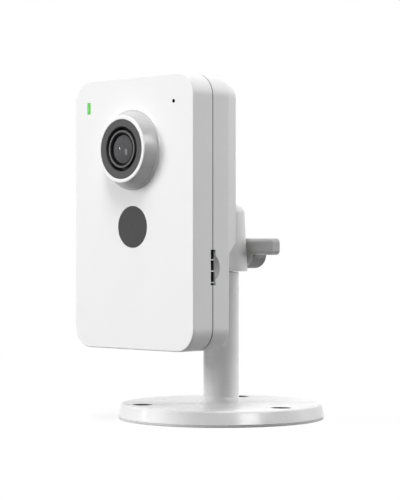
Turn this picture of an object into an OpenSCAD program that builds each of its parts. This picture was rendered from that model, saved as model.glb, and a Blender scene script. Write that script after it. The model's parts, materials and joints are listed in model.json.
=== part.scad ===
// Cube-shaped network security camera on a table stand.
// Millimetres. The origin is the centre of the stand's underside, on the pole's axis.
// +Z is up and the lens looks along -Y. Depths inside the housing are counted back
// from its front face, so depth 0 is the face and larger depths lie further to +Y.

/* [Housing] */
// Width of the housing
body_w = 68; // [66:1:80]
// Height of the housing
body_h = 108; // [106:1:120]
// Radius of the housing's four upright corners
corner_r = 9; // [7:0.5:11]
// Wall thickness of both covers
wall = 2; // [1.6:0.1:2.2]
// Depth of the front cover, from the face to the seam
front_d = 10.5; // [10:0.25:11]
// Depth from the face to the back of the side wall
side_d = 20; // [19.5:0.25:22]
// How far the raised back stands behind the side wall
bulge_d = 7.2; // [6:0.2:10]
// How far the raised back's sloping sides lean inwards
bulge_in = 3.4; // [2.5:0.1:4.5]
// Height of the ramp under the raised back
ramp_h = 4.3; // [3:0.1:6]
// Height of the ball stud's axis above the housing's underside
stud_up = 38; // [36:0.5:42]
// Thickness of the rear cover's locating lip
lip_t = 1; // [0.8:0.1:1.2]
// Length of the rear cover's locating lip
lip_l = 1.5; // [1:0.1:2]
// Gap round a piece that only has to slip into place
slip_gap = 0.1; // [0.05:0.01:0.15]
// Gap between pieces that meet but move against each other
rest_gap = 0.3; // [0.2:0.05:0.4]
// Radial clearance of a shaft that turns in a hole
turn_gap = 0.05; // [0.03:0.01:0.08]

/* [Lens] */
// Distance of the lens axis below the housing's top
lens_drop = 28.9; // [28:0.5:34]
// How far the lens shroud stands out of the face
shroud_out = 6.2; // [5:0.2:8]
// Radius of the shroud's foot on the face
shroud_foot_r = 15.9; // [15:0.1:17]
// Thickness of the shroud's flange on the face
shroud_lip = 0.8; // [0.6:0.1:1.2]
// Outer radius of the shroud's front rim
shroud_rim_r = 13.2; // [13:0.1:14.5]
// Radius of the opening in the shroud's rim
shroud_open_r = 11.8; // [11.2:0.1:12.4]
// Radius of the shroud's spigot in the front cover
spigot_r = 13; // [12.4:0.1:13.6]
// How far the black bezel lies behind the rim
bezel_set = 0.1; // [0.1:0.1:1.4]
// Thickness of the black bezel
bezel_t = 1.2; // [1:0.1:1.6]
// Width of the ledge that carries the bezel
bezel_ledge = 1; // [0.8:0.1:1.4]
// Radius of the hole in the bezel
bezel_hole_r = 8.8; // [8.2:0.1:9.4]
// Wall thickness of the bezel's cup round the lens
cup_wall = 0.8; // [0.6:0.1:1]
// How far the lens barrel lies behind the bezel
barrel_set = 0.2; // [0:0.1:0.6]
// Radius of the lens barrel's head
barrel_head_r = 7.4; // [7:0.1:7.8]
// Length of the lens barrel's head
barrel_head_l = 4.2; // [3.6:0.1:4.8]
// Radius of the threaded part of the lens barrel
barrel_r = 6; // [5.6:0.1:6.2]
// Length of the whole lens barrel
barrel_l = 13.6; // [13.1:0.1:14]
// Inner radius of the lens's retaining ring
ring_in_r = 6.4; // [6.2:0.05:6.45]
// Thickness of the lens's retaining ring
ring_t = 1; // [0.8:0.1:1.4]
// Width of the barrel's rim round the retaining ring
ring_rim = 0.8; // [0.6:0.05:0.85]
// Radius of the front lens element
glass_r = 5.9; // [5.6:0.1:6]
// Thickness of the front lens element at its edge
glass_t = 2; // [1.6:0.1:2.6]
// Height of the front lens element's dome
glass_dome = 0.7; // [0.4:0.1:0.9]
// Radius of the rear lens element
rear_glass_r = 3.6; // [3:0.1:4]
// Thickness of the rear lens element
rear_glass_t = 1.5; // [1:0.1:2]
// Wall thickness of the lens holder's tube
holder_wall = 1.6; // [1.2:0.1:2]
// Width and height of the lens holder's base
holder_w = 18; // [17:0.5:20]
// Thickness of the lens holder's base
holder_t = 2.6; // [2.2:0.1:3.2]
// Distance from the lens axis to each holder screw
holder_screw_x = 16.5; // [16.2:0.1:17.5]
// Radius of each screw ear and of the boss under it
ear_r = 2.6; // [2.4:0.1:3]

/* [Day and night filter] */
// Width of the filter's frame
filter_frame_w = 18.4; // [17.8:0.1:18.8]
// Height of the filter's frame
filter_frame_h = 15; // [14:0.5:17]
// Thickness of the filter's frame
filter_frame_t = 3.6; // [3.4:0.1:4.2]
// Wall thickness of the filter's frame
filter_frame_wall = 1; // [0.8:0.1:1.2]
// Width of the sliding filter
filter_w = 7.4; // [7:0.1:7.8]
// Height of the sliding filter
filter_h = 7.4; // [7:0.2:9]
// Thickness of the sliding filter
filter_t = 0.8; // [0.6:0.1:1]
// Travel of the sliding filter
filter_travel = 7.2; // [7:0.1:7.4]
// Radius of the light path through the frame
light_path_r = 3.3; // [2.8:0.1:3.4]
// Radius of the coil that moves the filter
coil_r = 1.7; // [1.2:0.1:1.8]
// Length of the coil that moves the filter
coil_l = 9; // [7:0.5:11]

/* [Image sensor] */
// Width of the image sensor
sensor_w = 7.2; // [6:0.2:7.4]
// Height of the image sensor
sensor_h = 5.4; // [5:0.2:7]
// Thickness of the image sensor
sensor_t = 1.1; // [0.8:0.1:1.3]
// Width and height of the sensor's board
sensor_board_w = 26; // [25:0.5:28]
// Thickness of the sensor's board
sensor_board_t = 1.2; // [1:0.1:1.6]

/* [Window, light and microphone] */
// Distance of the infrared window's centre below the housing's top
window_drop = 59.5; // [58:0.5:64]
// Radius of the infrared window
window_r = 8.2; // [7.8:0.1:9]
// Thickness of the infrared window
window_t = 1.2; // [1:0.1:1.4]
// Width of the ledge that carries the window
window_ledge = 1; // [0.8:0.1:1.3]
// Radius of the infrared light's reflector
reflector_r = 4; // [3.6:0.1:4.2]
// Wall thickness of the reflector at its mouth
reflector_wall = 0.4; // [0.3:0.05:0.6]
// Distance of the infrared light left of the window's centre
ir_led_x = 2.9; // [2.8:0.1:3]
// Radius of the infrared light's dome
ir_led_r = 1.7; // [1.4:0.1:2]
// Height of the infrared light
ir_led_h = 2.6; // [2:0.1:3]
// Distance of the light sensor right of the window's centre
light_sensor_x = 4.6; // [4.4:0.1:4.8]
// Radius of the light sensor
light_sensor_r = 1.4; // [1.2:0.1:1.6]
// Height of the light sensor
light_sensor_h = 3.2; // [2.6:0.1:4]
// Distance of the status light's centre below the housing's top
led_drop = 11.35; // [11:0.1:12]
// Distance of the status light from the housing's left side
led_in = 8.25; // [8:0.05:9]
// Width of the status light's slit
led_w = 1.9; // [1.6:0.1:2.2]
// Height of the status light's slit
led_h = 4.7; // [4:0.1:5]
// Width of the light pipe's shoulder round the slit
pipe_shoulder = 0.7; // [0.5:0.05:0.8]
// Height of the status light's lamp on the board
lamp_h = 0.8; // [0.6:0.1:1]
// Distance of the microphone hole below the housing's top
mic_drop = 10.9; // [10.5:0.1:12]
// Distance of the microphone hole from the housing's right side
mic_in = 10.8; // [10:0.1:12]
// Radius of the microphone hole
mic_hole_r = 0.75; // [0.6:0.05:1]
// Radius of the microphone
mic_r = 3; // [2.6:0.1:3.2]
// Height of the microphone
mic_h = 2.2; // [2:0.1:2.6]
// Wall thickness of the microphone's rubber boot
boot_wall = 0.8; // [0.6:0.05:1]

/* [Boards] */
// Height of the posts between the front cover and the main board
post_h = 6; // [5.8:0.1:6.2]
// Radius of the board posts
post_r = 2.5; // [2.2:0.1:2.8]
// Thickness of the main board and the port board
board_t = 1.6; // [1.2:0.1:1.6]
// Gap between the main board's edge and the rear cover's lip
board_gap = 0.4; // [0.3:0.05:0.8]
// Radius of the main board's corners
board_corner_r = 3; // [3:0.25:4]
// Height of the main board's lower edge above the housing's underside
main_up = 26; // [25.5:0.25:26.5]
// Distance of the main board's upper edge below the housing's top
main_drop = 6.6; // [6.2:0.1:7]
// Gap round the lens holder in the main board's cut-out
cutout_gap = 1.5; // [1:0.1:2]
// Distance of the board screws from the housing's sides
post_in = 6.5; // [6:0.1:7]
// Distance of the upper board screws below the lens axis
post_top = 5; // [3:0.5:6]
// Distance of the lower board screws above the card socket
post_up = 6.05; // [4:0.05:7]
// Width of the processor
chip_w = 13; // [11:0.5:15]
// Thickness of the processor
chip_t = 1.2; // [1:0.1:1.6]
// Distance of the processor inside the left board screws
chip_in = 15.5; // [15:0.5:17]
// Distance of the processor below the lens axis
chip_drop = 29.6; // [29:0.1:31]
// Thickness of the thermal pad
pad_t = 1; // [0.6:0.1:1.4]
// Width of the heat spreader
spreader_w = 26; // [22:1:28]
// Height of the heat spreader
spreader_h = 22; // [18:1:24]
// Thickness of the heat spreader
spreader_t = 1.2; // [1:0.1:2]
// Width of the heat spreader's folded feet
spreader_foot = 2; // [1.5:0.1:3]
// Width of the memory chip
memory_w = 9; // [8:0.5:11]
// Height of the memory chip
memory_h = 13; // [10:0.5:14]
// Thickness of the memory chip
memory_t = 1; // [0.8:0.1:1.4]
// Distance of the memory chip inside the right board screws
memory_in = 11.5; // [10:0.5:13]
// Distance of the memory chip above the card socket
memory_up = 3.45; // [2:0.05:6]

/* [Memory card slot] */
// Height of the slot's centre above the housing's underside
card_up = 32.65; // [32.4:0.05:33]
// Length of the slot in the side wall
slot_l = 13.8; // [12.4:0.1:14.2]
// Width of the slot in the side wall
slot_w = 2.6; // [2:0.1:2.8]
// Thickness of the card socket
socket_t = 2.2; // [2:0.05:2.4]
// Length of the card socket, across the board
socket_l = 14.5; // [13:0.5:16]
// Wall thickness of the card socket's cage
socket_wall = 0.3; // [0.2:0.05:0.4]
// How far the finger scoop reaches behind the slot
scoop_out = 2.4; // [2:0.1:3.4]
// Length of the finger scoop along the slot
scoop_l = 9.4; // [8:0.1:11]
// Depth of the finger scoop in the side wall
scoop_deep = 1.2; // [0.8:0.1:1.3]

/* [Ports] */
// Height of the ports' centre line above the housing's underside
port_up = 12.4; // [12:0.1:13]
// Distance of the network socket right of the housing's centre
jack_x = 9; // [8.5:0.25:10]
// Width of the network socket
jack_w = 16; // [15.6:0.1:16.4]
// Height of the network socket
jack_h = 13.5; // [13.2:0.1:14]
// Depth of the network socket
jack_l = 13.2; // [12.8:0.1:13.4]
// Width of the network plug's opening
plug_w = 11.8; // [11.7:0.05:12]
// Height of the network plug's opening
plug_h = 8; // [7.8:0.05:8.4]
// Width of the plug latch's notch
latch_w = 6.2; // [6:0.1:7]
// Height of the plug latch's notch
latch_h = 2; // [1.6:0.1:2.4]
// Depth of the network plug's opening
plug_l = 11.4; // [11:0.1:11.6]
// Distance of the power socket left of the housing's centre
power_x = 16; // [15.5:0.25:16.5]
// Width and height of the power socket
power_w = 9; // [8.6:0.1:9.4]
// Radius of the power plug's opening
power_hole_r = 3.2; // [3:0.05:3.4]
// Depth of the power plug's opening
power_hole_l = 9.5; // [9:0.1:10]
// Radius of the power socket's centre pin
power_pin_r = 1; // [0.8:0.05:1.05]
// Distance of the centre pin's tip inside the power socket's mouth
power_pin_set = 1; // [0.5:0.1:1.5]
// Gap between a socket and the edge of its hole in the rear cover
port_gap = 0.25; // [0.15:0.05:0.35]
// How far the sockets lie inside the rear cover's outer face
port_set = 0.3; // [0.2:0.05:0.5]
// Distance of the reset button left of the housing's centre
reset_x = 5; // [4.8:0.1:5.5]
// Radius of the reset button
reset_r = 1.5; // [1.2:0.1:1.8]
// Travel of the reset button
reset_travel = 0.6; // [0.3:0.1:0.8]
// Radius of the reset button's shoulder
reset_shoulder_r = 2.2; // [2.1:0.1:2.4]
// Thickness of the reset button's shoulder
reset_shoulder_t = 0.8; // [0.6:0.1:1]
// Width of the reset switch
switch_w = 6; // [5.6:0.1:6.4]
// Depth of the reset switch's case
switch_t = 3.5; // [3:0.1:4.5]
// Width of the port board
port_board_w = 45; // [44:0.5:46]
// Height of the port board
port_board_h = 19; // [18.6:0.1:19.4]
// Distance of the port board's screws from the housing's centre
port_screw_x = 20; // [19.6:0.1:20.2]
// Distance of the port board's screws below its upper edge
port_screw_in = 2.6; // [2.5:0.1:3]
// Width of the flat cables
flat_cable_w = 10; // [8:0.5:12]
// Thickness of the flat cables
flat_cable_t = 0.3; // [0.2:0.05:0.4]
// Length of the flat cables' soldered ends
flat_cable_end = 3; // [2:0.25:3.5]

/* [Speaker and antenna] */
// Radius of the speaker
speaker_r = 10; // [9:0.5:11]
// Thickness of the speaker
speaker_t = 4.2; // [3.5:0.1:5]
// Radius of the speaker's magnet
magnet_r = 5.5; // [5:0.25:6.5]
// Thickness of the speaker's magnet
magnet_t = 1.6; // [1:0.1:2]
// Wall thickness of the ring that holds the speaker
speaker_ring = 1.2; // [1:0.1:1.6]
// Radius of each speaker hole
grille_r = 0.8; // [0.6:0.05:1]
// Spacing of the rings of speaker holes
grille_step = 2.8; // [2.4:0.1:2.9]
// Rings of speaker holes round the middle one
grille_rings = 2; // [1:1:3]
// Gap between the aerial plate and the side wall of the raised back
aerial_side = 4.2; // [2.5:0.1:8]
// Height of the aerial plate
aerial_h = 7; // [5:0.5:8]
// Thickness of the aerial plate
aerial_t = 0.5; // [0.3:0.1:0.8]
// Gap between the aerial plate and the top wall and screw column beside it
aerial_gap = 1; // [0.6:0.1:1.4]

/* [Screws] */
// Radius of the housing screws
housing_screw_r = 1.3; // [1.1:0.1:1.4]
// Radius of the housing screws' heads
housing_head_r = 2.4; // [2.2:0.1:2.6]
// Height of the housing screws' heads
housing_head_h = 1.6; // [1.4:0.1:1.8]
// Depth of the housing screws' heads below the surface
housing_head_set = 1.2; // [0.8:0.1:2]
// Radius of the columns round the housing screws
column_r = 3.4; // [3.3:0.1:3.6]
// Distance of the lower housing screws from the housing's sides
column_in = 6.6; // [6.2:0.1:7]
// Height of the lower housing screws above the housing's underside
column_up = 7.4; // [7:0.1:8]
// Distance of the upper housing screw below the housing's top
column_drop = 8; // [7.8:0.1:8.4]
// Radius of the board and lens screws
board_screw_r = 0.9; // [0.8:0.05:1]
// Radius of the board and lens screws' heads
board_head_r = 1.9; // [1.7:0.1:2.1]
// Height of the board and lens screws' heads
board_head_h = 1.1; // [0.9:0.1:1.4]
// Depth of the board and lens screws' thread below the board
board_screw_l = 2.4; // [2:0.1:2.6]

/* [Stand] */
// Radius of the stand's foot at its underside
foot_r = 42.7; // [41:0.1:46]
// How far the side of the stand's foot slopes in
foot_slope = 1; // [0.8:0.1:2.4]
// Height of the stand's foot
foot_h = 6.3; // [5.8:0.1:8]
// Radius of the rounding on the foot's upper edge
foot_edge_r = 0.9; // [0.5:0.1:1.2]
// Width of the foot's rim round the rubber pad
foot_rim = 2.6; // [2.2:0.1:3]
// Height of the foot's rim above the table
foot_lift = 0.9; // [0.7:0.05:1.1]
// Thickness of the rubber pad
sole_t = 1.4; // [1.2:0.1:1.6]
// Thickness of the steel weight
weight_t = 2; // [1.6:0.1:2]
// Radius of the pole
pole_r = 7.4; // [7.1:0.1:8]
// Radius of the rounding at the pole's foot
pole_foot_r = 3; // [2:0.1:4]
// Radius of the bore in the pole below the swivel
pole_bore_r = 4.4; // [4.2:0.1:4.6]
// Height of the swivel plane, where the head starts
head_up = 61; // [58:0.5:70]
// Distance of the foot's screw holes from its rim
hole_in = 9.2; // [8.8:0.1:10.5]
// Number of screw holes in the foot
hole_count = 3; // [3:1:4]
// Radius of the foot's screw holes
hole_r = 2.2; // [2:0.05:2.4]
// Radius of the counterbores of the foot's screw holes
hole_head_r = 4.2; // [3.8:0.1:4.4]
// Depth of the counterbores of the foot's screw holes
hole_head_l = 2.4; // [2:0.1:2.8]
// Radius of the columns round the foot's screw holes
hole_column_r = 5.4; // [5:0.1:5.6]

/* [Head and ball joint] */
// Radius of the head at its lower edge
head_r = 11; // [10.8:0.1:12]
// Radius of the head under its rounded top
head_top_r = 9.8; // [9.4:0.1:10.6]
// Height of the head
head_h = 27.5; // [26:0.5:32]
// Radius of the rounding on the head's top
head_edge_r = 3.8; // [3:0.1:5]
// Height of the ball's centre above the head's lower edge
ball_up = 7.4; // [7.2:0.1:8.4]
// Distance of the ball's centre in front of the pole's axis
ball_fore = 3; // [2.8:0.1:3.2]
// Radius of the ball
ball_r = 6; // [5.8:0.1:6.2]
// Clearance round the ball in its socket
ball_gap = 0.15; // [0.1:0.01:0.2]
// Radius of the stud's neck
neck_r = 3; // [2.6:0.1:3.2]
// Distance from the ball's centre to the back of the housing
stud_reach = 20.4; // [20:0.1:24]
// Radius of the stud's flange
flange_r = 6.4; // [5.6:0.1:7]
// Thickness of the stud's flange
flange_t = 2; // [1.6:0.1:3]
// Radius of the stud's shank in the rear cover
shank_r = 2.5; // [2.2:0.1:2.7]
// Radius of the boss that carries the stud
boss_r = 9; // [8:0.1:10]
// Gap between the stud's end and the heat spreader
stud_clear = 1.1; // [0.8:0.1:2]
// Thickness of the stud's washer
stud_washer_t = 0.5; // [0.4:0.05:0.8]
// Radius of the stud's washer
stud_washer_r = 5; // [4.8:0.1:5.6]
// Thickness of the stud's nut
stud_nut_t = 2.7; // [2.4:0.1:3]
// Radius of the stud's nut across its corners
stud_nut_r = 4.6; // [4.2:0.1:4.8]
// How far the camera tilts up from level
tilt_up = 30; // [20:1:32]
// How far the camera tilts down from level
tilt_down = 24; // [15:1:24]
// Gap on each side of the neck in its slot
neck_gap = 0.35; // [0.3:0.05:0.5]
// Radius of the head's swivel spigot
swivel_r = 5; // [4.7:0.1:5.2]
// Length of the head's swivel spigot
swivel_l = 12; // [10:0.5:14]
// Thickness of the shelf under the swivel spigot
shelf_t = 3; // [2.5:0.1:4]
// Radius of the swivel screw
swivel_screw_r = 1.6; // [1.4:0.1:1.8]
// Length of the swivel screw's thread in the head
swivel_screw_l = 8; // [7:0.1:9]
// Radius of the swivel screw's head
swivel_head_r = 2.9; // [2.7:0.1:3.1]
// Height of the swivel screw's head
swivel_head_h = 2; // [1.8:0.1:2.4]
// Radius of the swivel washer
swivel_washer_r = 3.8; // [3.6:0.1:4]
// Thickness of the swivel washer
swivel_washer_t = 0.8; // [0.6:0.1:1.2]

/* [Clamp] */
// Least thickness of the clamp shoe behind the ball
shoe_t = 1.8; // [1.6:0.1:2]
// Length of the clamp shoe's cup round the ball
cup_l = 2.4; // [1.8:0.1:2.6]
// Thread pitch of the clamp screw, so its travel in one turn
pitch = 0.8; // [0.7:0.05:0.9]
// Thickness of the threaded plug behind the shoe
plug_t = 4; // [3.6:0.1:4.2]
// Radius of the clamp screw
clamp_screw_r = 2.5; // [2.3:0.1:2.8]
// Length of the clamp screw inside the knob
clamp_grip = 7; // [6:0.5:8]
// Radius of the knob's hub
hub_r = 6.3; // [5.8:0.1:7]
// Length of the knob's hub
hub_l = 10.2; // [9:0.1:12]
// Radius of the rounding on the knob's front edge and along its wings
knob_edge_r = 1.6; // [1:0.1:2]
// Distance from the knob's axis to the tip of a wing
wing_r = 18.6; // [15:0.1:19]
// Height of a wing at its front
wing_h = 6.9; // [6:0.1:7.4]
// Depth of a wing along the knob's axis
wing_d = 4.4; // [4:0.1:6]
// Radius of the corners of a wing's tip
wing_tip_r = 2; // [1.2:0.1:2.6]
// Radius of the rounding between a wing and the hub
wing_root_r = 3.6; // [2.6:0.1:5]
// How far a wing's edge lies inside the hub's surface
wing_set = 0.1; // [0.05:0.05:0.3]

/* [Hidden] */
$fn = 64;
eps = 0.01;
// Cross recess of a screw head, as parts of the head's radius
recess_reach = 0.65;
recess_w = 0.28;
// Ball centre, and the housing's place from it
ball_y = -ball_fore;
ball_z = head_up + ball_up;
back_d = side_d + bulge_d;
face_y = ball_y - stud_reach - back_d;
body_z0 = ball_z - stud_up;
body_z1 = body_z0 + body_h;
body_zc = body_z0 + body_h / 2;
half_w = body_w / 2;
// Places of the features on the face
lens_z = body_z1 - lens_drop;
window_z = body_z1 - window_drop;
led_x = led_in - half_w;
led_z = body_z1 - led_drop;
mic_x = half_w - mic_in;
mic_z = body_z1 - mic_drop;
// Depths of the boards
main_d = wall + post_h;
main_back = main_d + board_t;
port_back = side_d - port_set - jack_l;
port_d = port_back - board_t;
// Main board outline, inside the rear cover's lip
main_w = body_w - 2 * (wall + slip_gap + lip_t + board_gap);
main_z0 = body_z0 + main_up;
main_z1 = body_z1 - main_drop;
main_right = main_w / 2;
// Lens parts, from the front
rim_d = -shroud_out;
bezel_d = rim_d + bezel_set;
barrel_d = bezel_d + barrel_set;
barrel_head_back = barrel_d + barrel_head_l;
barrel_back = barrel_d + barrel_l;
holder_back = main_d + holder_t;
holder_tube_r = barrel_r + holder_wall;
filter_back = holder_back + filter_frame_t;
filter_d = holder_back + filter_frame_wall + slip_gap;
sensor_d = filter_back - sensor_t;
sensor_board_back = filter_back + sensor_board_t;
// Filter: it rests over the light path and slides towards -X
pocket_w = filter_w + filter_travel + 2 * rest_gap;
pocket_right = filter_w / 2 + rest_gap;
pocket_d1 = filter_d + filter_t + slip_gap;
// Card slot: the socket lies on the main board's back
card_z = body_z0 + card_up;
card_d = main_back + socket_t / 2;
slot_back = main_back + slot_w;
scoop_edge_r = (pow(scoop_l / 2, 2) + pow(scoop_out, 2)) / (2 * scoop_out);
scoop_ball_r = (pow(scoop_edge_r, 2) + pow(scoop_deep, 2)) / (2 * scoop_deep);
// Ports
port_z = body_z0 + port_up;
port_board_z1 = port_z + port_board_h / 2;
// The reset button's shoulder rests inside the rear wall
reset_tip_d = side_d - port_set;
reset_shoulder_d = side_d - wall - rest_gap - reset_shoulder_t;
switch_back = port_back + switch_t;
reset_foot_d = switch_back + reset_travel + rest_gap;
// Housing screws: x, z and depth of the surface around each
columns = [
    [-half_w + column_in, body_z0 + column_up, side_d],
    [half_w - column_in, body_z0 + column_up, side_d],
    [0, body_z1 - column_drop, back_d]
];
// Posts of the main board and of the port board: x, z and height
post_x = half_w - post_in;
post_z = card_z + slot_l / 2 + post_up;
main_posts = [for (x = [-post_x, post_x], z = [post_z, lens_z - post_top]) [x, z]];
port_posts = [for (x = [-port_screw_x, port_screw_x]) [x, port_board_z1 - port_screw_in]];
lens_posts = [for (x = [-holder_screw_x, holder_screw_x]) [x, lens_z]];
// Chips, and what lies on the processor
chip_x = post_x - chip_in;
chip_z = lens_z - chip_drop;
memory_x = post_x - memory_in;
memory_z = card_z + slot_l / 2 + memory_up + memory_h / 2;
pad_d = main_back + chip_t;
spreader_d = pad_d + pad_t;
// Speaker, behind the lens on the raised back's inner face
inner_back = back_d - wall;
speaker_z = lens_z;
// Stud boss
stud_end_d = spreader_d + spreader_t + stud_clear;
nut_d = stud_end_d + stud_nut_t;
washer_d = nut_d + stud_washer_t;
boss_d = washer_d + rest_gap;
// Foot
foot_top_r = foot_r - foot_slope;
hole_ring_r = foot_r - hole_in;
// Pole and swivel
pole_top = head_up - rest_gap;
shelf_z1 = head_up - swivel_l - rest_gap;
shelf_z0 = shelf_z1 - shelf_t;
washer_z = shelf_z0 - rest_gap;
swivel_head_z = washer_z - swivel_washer_t;
sole_z1 = sole_t;
weight_z1 = sole_z1 + weight_t;
hole_turn = 360 / hole_count;
// Clamp, from the ball to the knob
cage_r = ball_r + ball_gap;
shoe_y0 = ball_y + cage_r - cup_l;
shoe_y1 = ball_y + cage_r + shoe_t;
plug_y0 = shoe_y1 + pitch + rest_gap;
plug_y1 = plug_y0 + plug_t;
head_at_ball_r = head_r - (head_r - head_top_r) * ball_up / (head_h - head_edge_r);
hub_y0 = max(head_r, plug_y1) + rest_gap;
hub_y1 = hub_y0 + hub_l;
wing_z1 = hub_r - wing_set;
wing_z0 = wing_z1 - wing_h;

// ---- Shared shapes ----

function behind(d) = face_y + d;

// Puts a shape at x and z on the housing's face
module at(x, z) {
    translate([x, 0, z]) children();
}

// Round bar along Y between two depths
module rod(r, d0, d1) {
    translate([0, behind(d1), 0]) rotate([90, 0, 0]) cylinder(r = r, h = d1 - d0);
}

// Cone along Y, radius r0 at depth d0 and r1 at depth d1
module taper(r0, r1, d0, d1) {
    translate([0, behind(d0), 0]) rotate([-90, 0, 0]) cylinder(r1 = r0, r2 = r1, h = d1 - d0);
}

// Block w wide and h high, centred on the axis, between two depths
module block(w, h, d0, d1) {
    translate([-w / 2, behind(d0), -h / 2]) cube([w, d1 - d0, h]);
}

// Flat outline with round corners, centred
module rounded(w, h, r) {
    square([w - 2 * r, h], center = true);
    square([w, h - 2 * r], center = true);
    for (x = [-1, 1], y = [-1, 1]) translate([x * (w / 2 - r), y * (h / 2 - r)]) circle(r);
}

// Plate with round corners between two depths, centred on the axis
module plate(w, h, r, d0, d1) {
    translate([0, behind(d1), 0]) rotate([90, 0, 0]) linear_extrude(d1 - d0) rounded(w, h, r);
}

// Plate as large as the housing less an even margin
module housing_plate(margin, d0, d1) {
    at(0, body_zc) plate(body_w - 2 * margin, body_h - 2 * margin, corner_r - margin, d0, d1);
}

// Raised back, shrunk all round by a margin: sloping sides and top, two conical
// corners, and a ramp that starts at the stud's height
module raised_back(margin, d0, d1) {
    run = d1 - d0;
    lean = bulge_in * run / bulge_d;
    w = half_w - margin;
    top = body_z1 - margin;
    foot = ball_z + margin;
    corner = corner_r - margin;
    // Sloping sides
    translate([0, 0, foot + ramp_h]) linear_extrude(top - corner - foot - ramp_h)
        polygon([[-w, behind(d0)], [w, behind(d0)],
                 [w - lean, behind(d1)], [lean - w, behind(d1)]]);
    // Sloping top
    translate([corner - w, 0, 0]) rotate([90, 0, 90]) linear_extrude(2 * (w - corner))
        polygon([[behind(d0), foot + ramp_h], [behind(d0), top],
                 [behind(d1), top - lean], [behind(d1), foot + ramp_h]]);
    // Corners
    for (x = [-1, 1]) at(x * (w - corner), top - corner) taper(corner, corner - lean, d0, d1);
    // Ramp
    intersection() {
        translate([-w, 0, 0]) rotate([90, 0, 90]) linear_extrude(2 * w)
            polygon([[behind(d0), foot], [behind(d0), foot + ramp_h + eps],
                     [behind(d1), foot + ramp_h + eps], [behind(d1), foot + ramp_h]]);
        translate([0, 0, foot - eps]) linear_extrude(ramp_h + 3 * eps)
            polygon([[-w, behind(d0)], [w, behind(d0)],
                     [w - lean, behind(d1)], [lean - w, behind(d1)]]);
    }
}

// Screw along Y with its head's underside at depth d and its tip ahead of it
module face_screw(r, head_r, head_h, length, d) {
    difference() {
        union() {
            rod(r, d - length, d + eps);
            rod(head_r, d, d + head_h);
        }
        for (turn = [0, 90]) rotate([0, turn, 0])
            block(2 * recess_reach * head_r, recess_w * head_r, d + head_h / 2, d + head_h + eps);
    }
}

// Round bar along Y between two heights in the part's own frame
module bar(r, y0, y1) {
    translate([0, y0, 0]) rotate([-90, 0, 0]) cylinder(r = r, h = y1 - y0);
}

// ---- Housing ----

module front_cover() {
    color("whitesmoke") difference() {
        union() {
            difference() {
                housing_plate(0, 0, front_d);
                housing_plate(wall, wall, front_d + eps);
            }
            intersection() {
                housing_plate(wall / 2, wall / 2, front_d);
                for (c = columns) at(c[0], c[1]) rod(column_r, wall / 2, front_d);
            }
            for (p = main_posts) at(p[0], p[1]) rod(post_r, wall / 2, main_d);
            for (p = lens_posts) at(p[0], p[1]) rod(ear_r, wall / 2, main_d);
            for (p = port_posts) at(p[0], p[1]) rod(post_r, wall / 2, port_d);
        }
        at(0, lens_z) rod(spigot_r + slip_gap, -eps, wall + eps);
        at(0, window_z) rod(window_r + slip_gap, -eps, window_t);
        at(0, window_z) rod(window_r - window_ledge, -eps, wall + eps);
        at(led_x, led_z) block(led_w, led_h, -eps, wall + eps);
        at(mic_x, mic_z) rod(mic_hole_r, -eps, wall + eps);
        for (c = columns) at(c[0], c[1]) rod(housing_screw_r, wall, front_d + eps);
        for (p = main_posts) at(p[0], p[1])
            rod(board_screw_r, main_d - board_screw_l, main_d + eps);
        for (p = lens_posts) at(p[0], p[1])
            rod(board_screw_r, main_d - board_screw_l, main_d + eps);
        for (p = port_posts) at(p[0], p[1])
            rod(board_screw_r, port_d - board_screw_l, port_d + eps);
        card_slot();
    }
}

// Opening of the memory card slot in the right side wall
module card_slot() {
    translate([half_w - wall - lip_t - 2 * slip_gap, behind(main_back), card_z - slot_l / 2])
        cube([wall + lip_t + 3 * slip_gap, slot_w, slot_l]);
}

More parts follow.
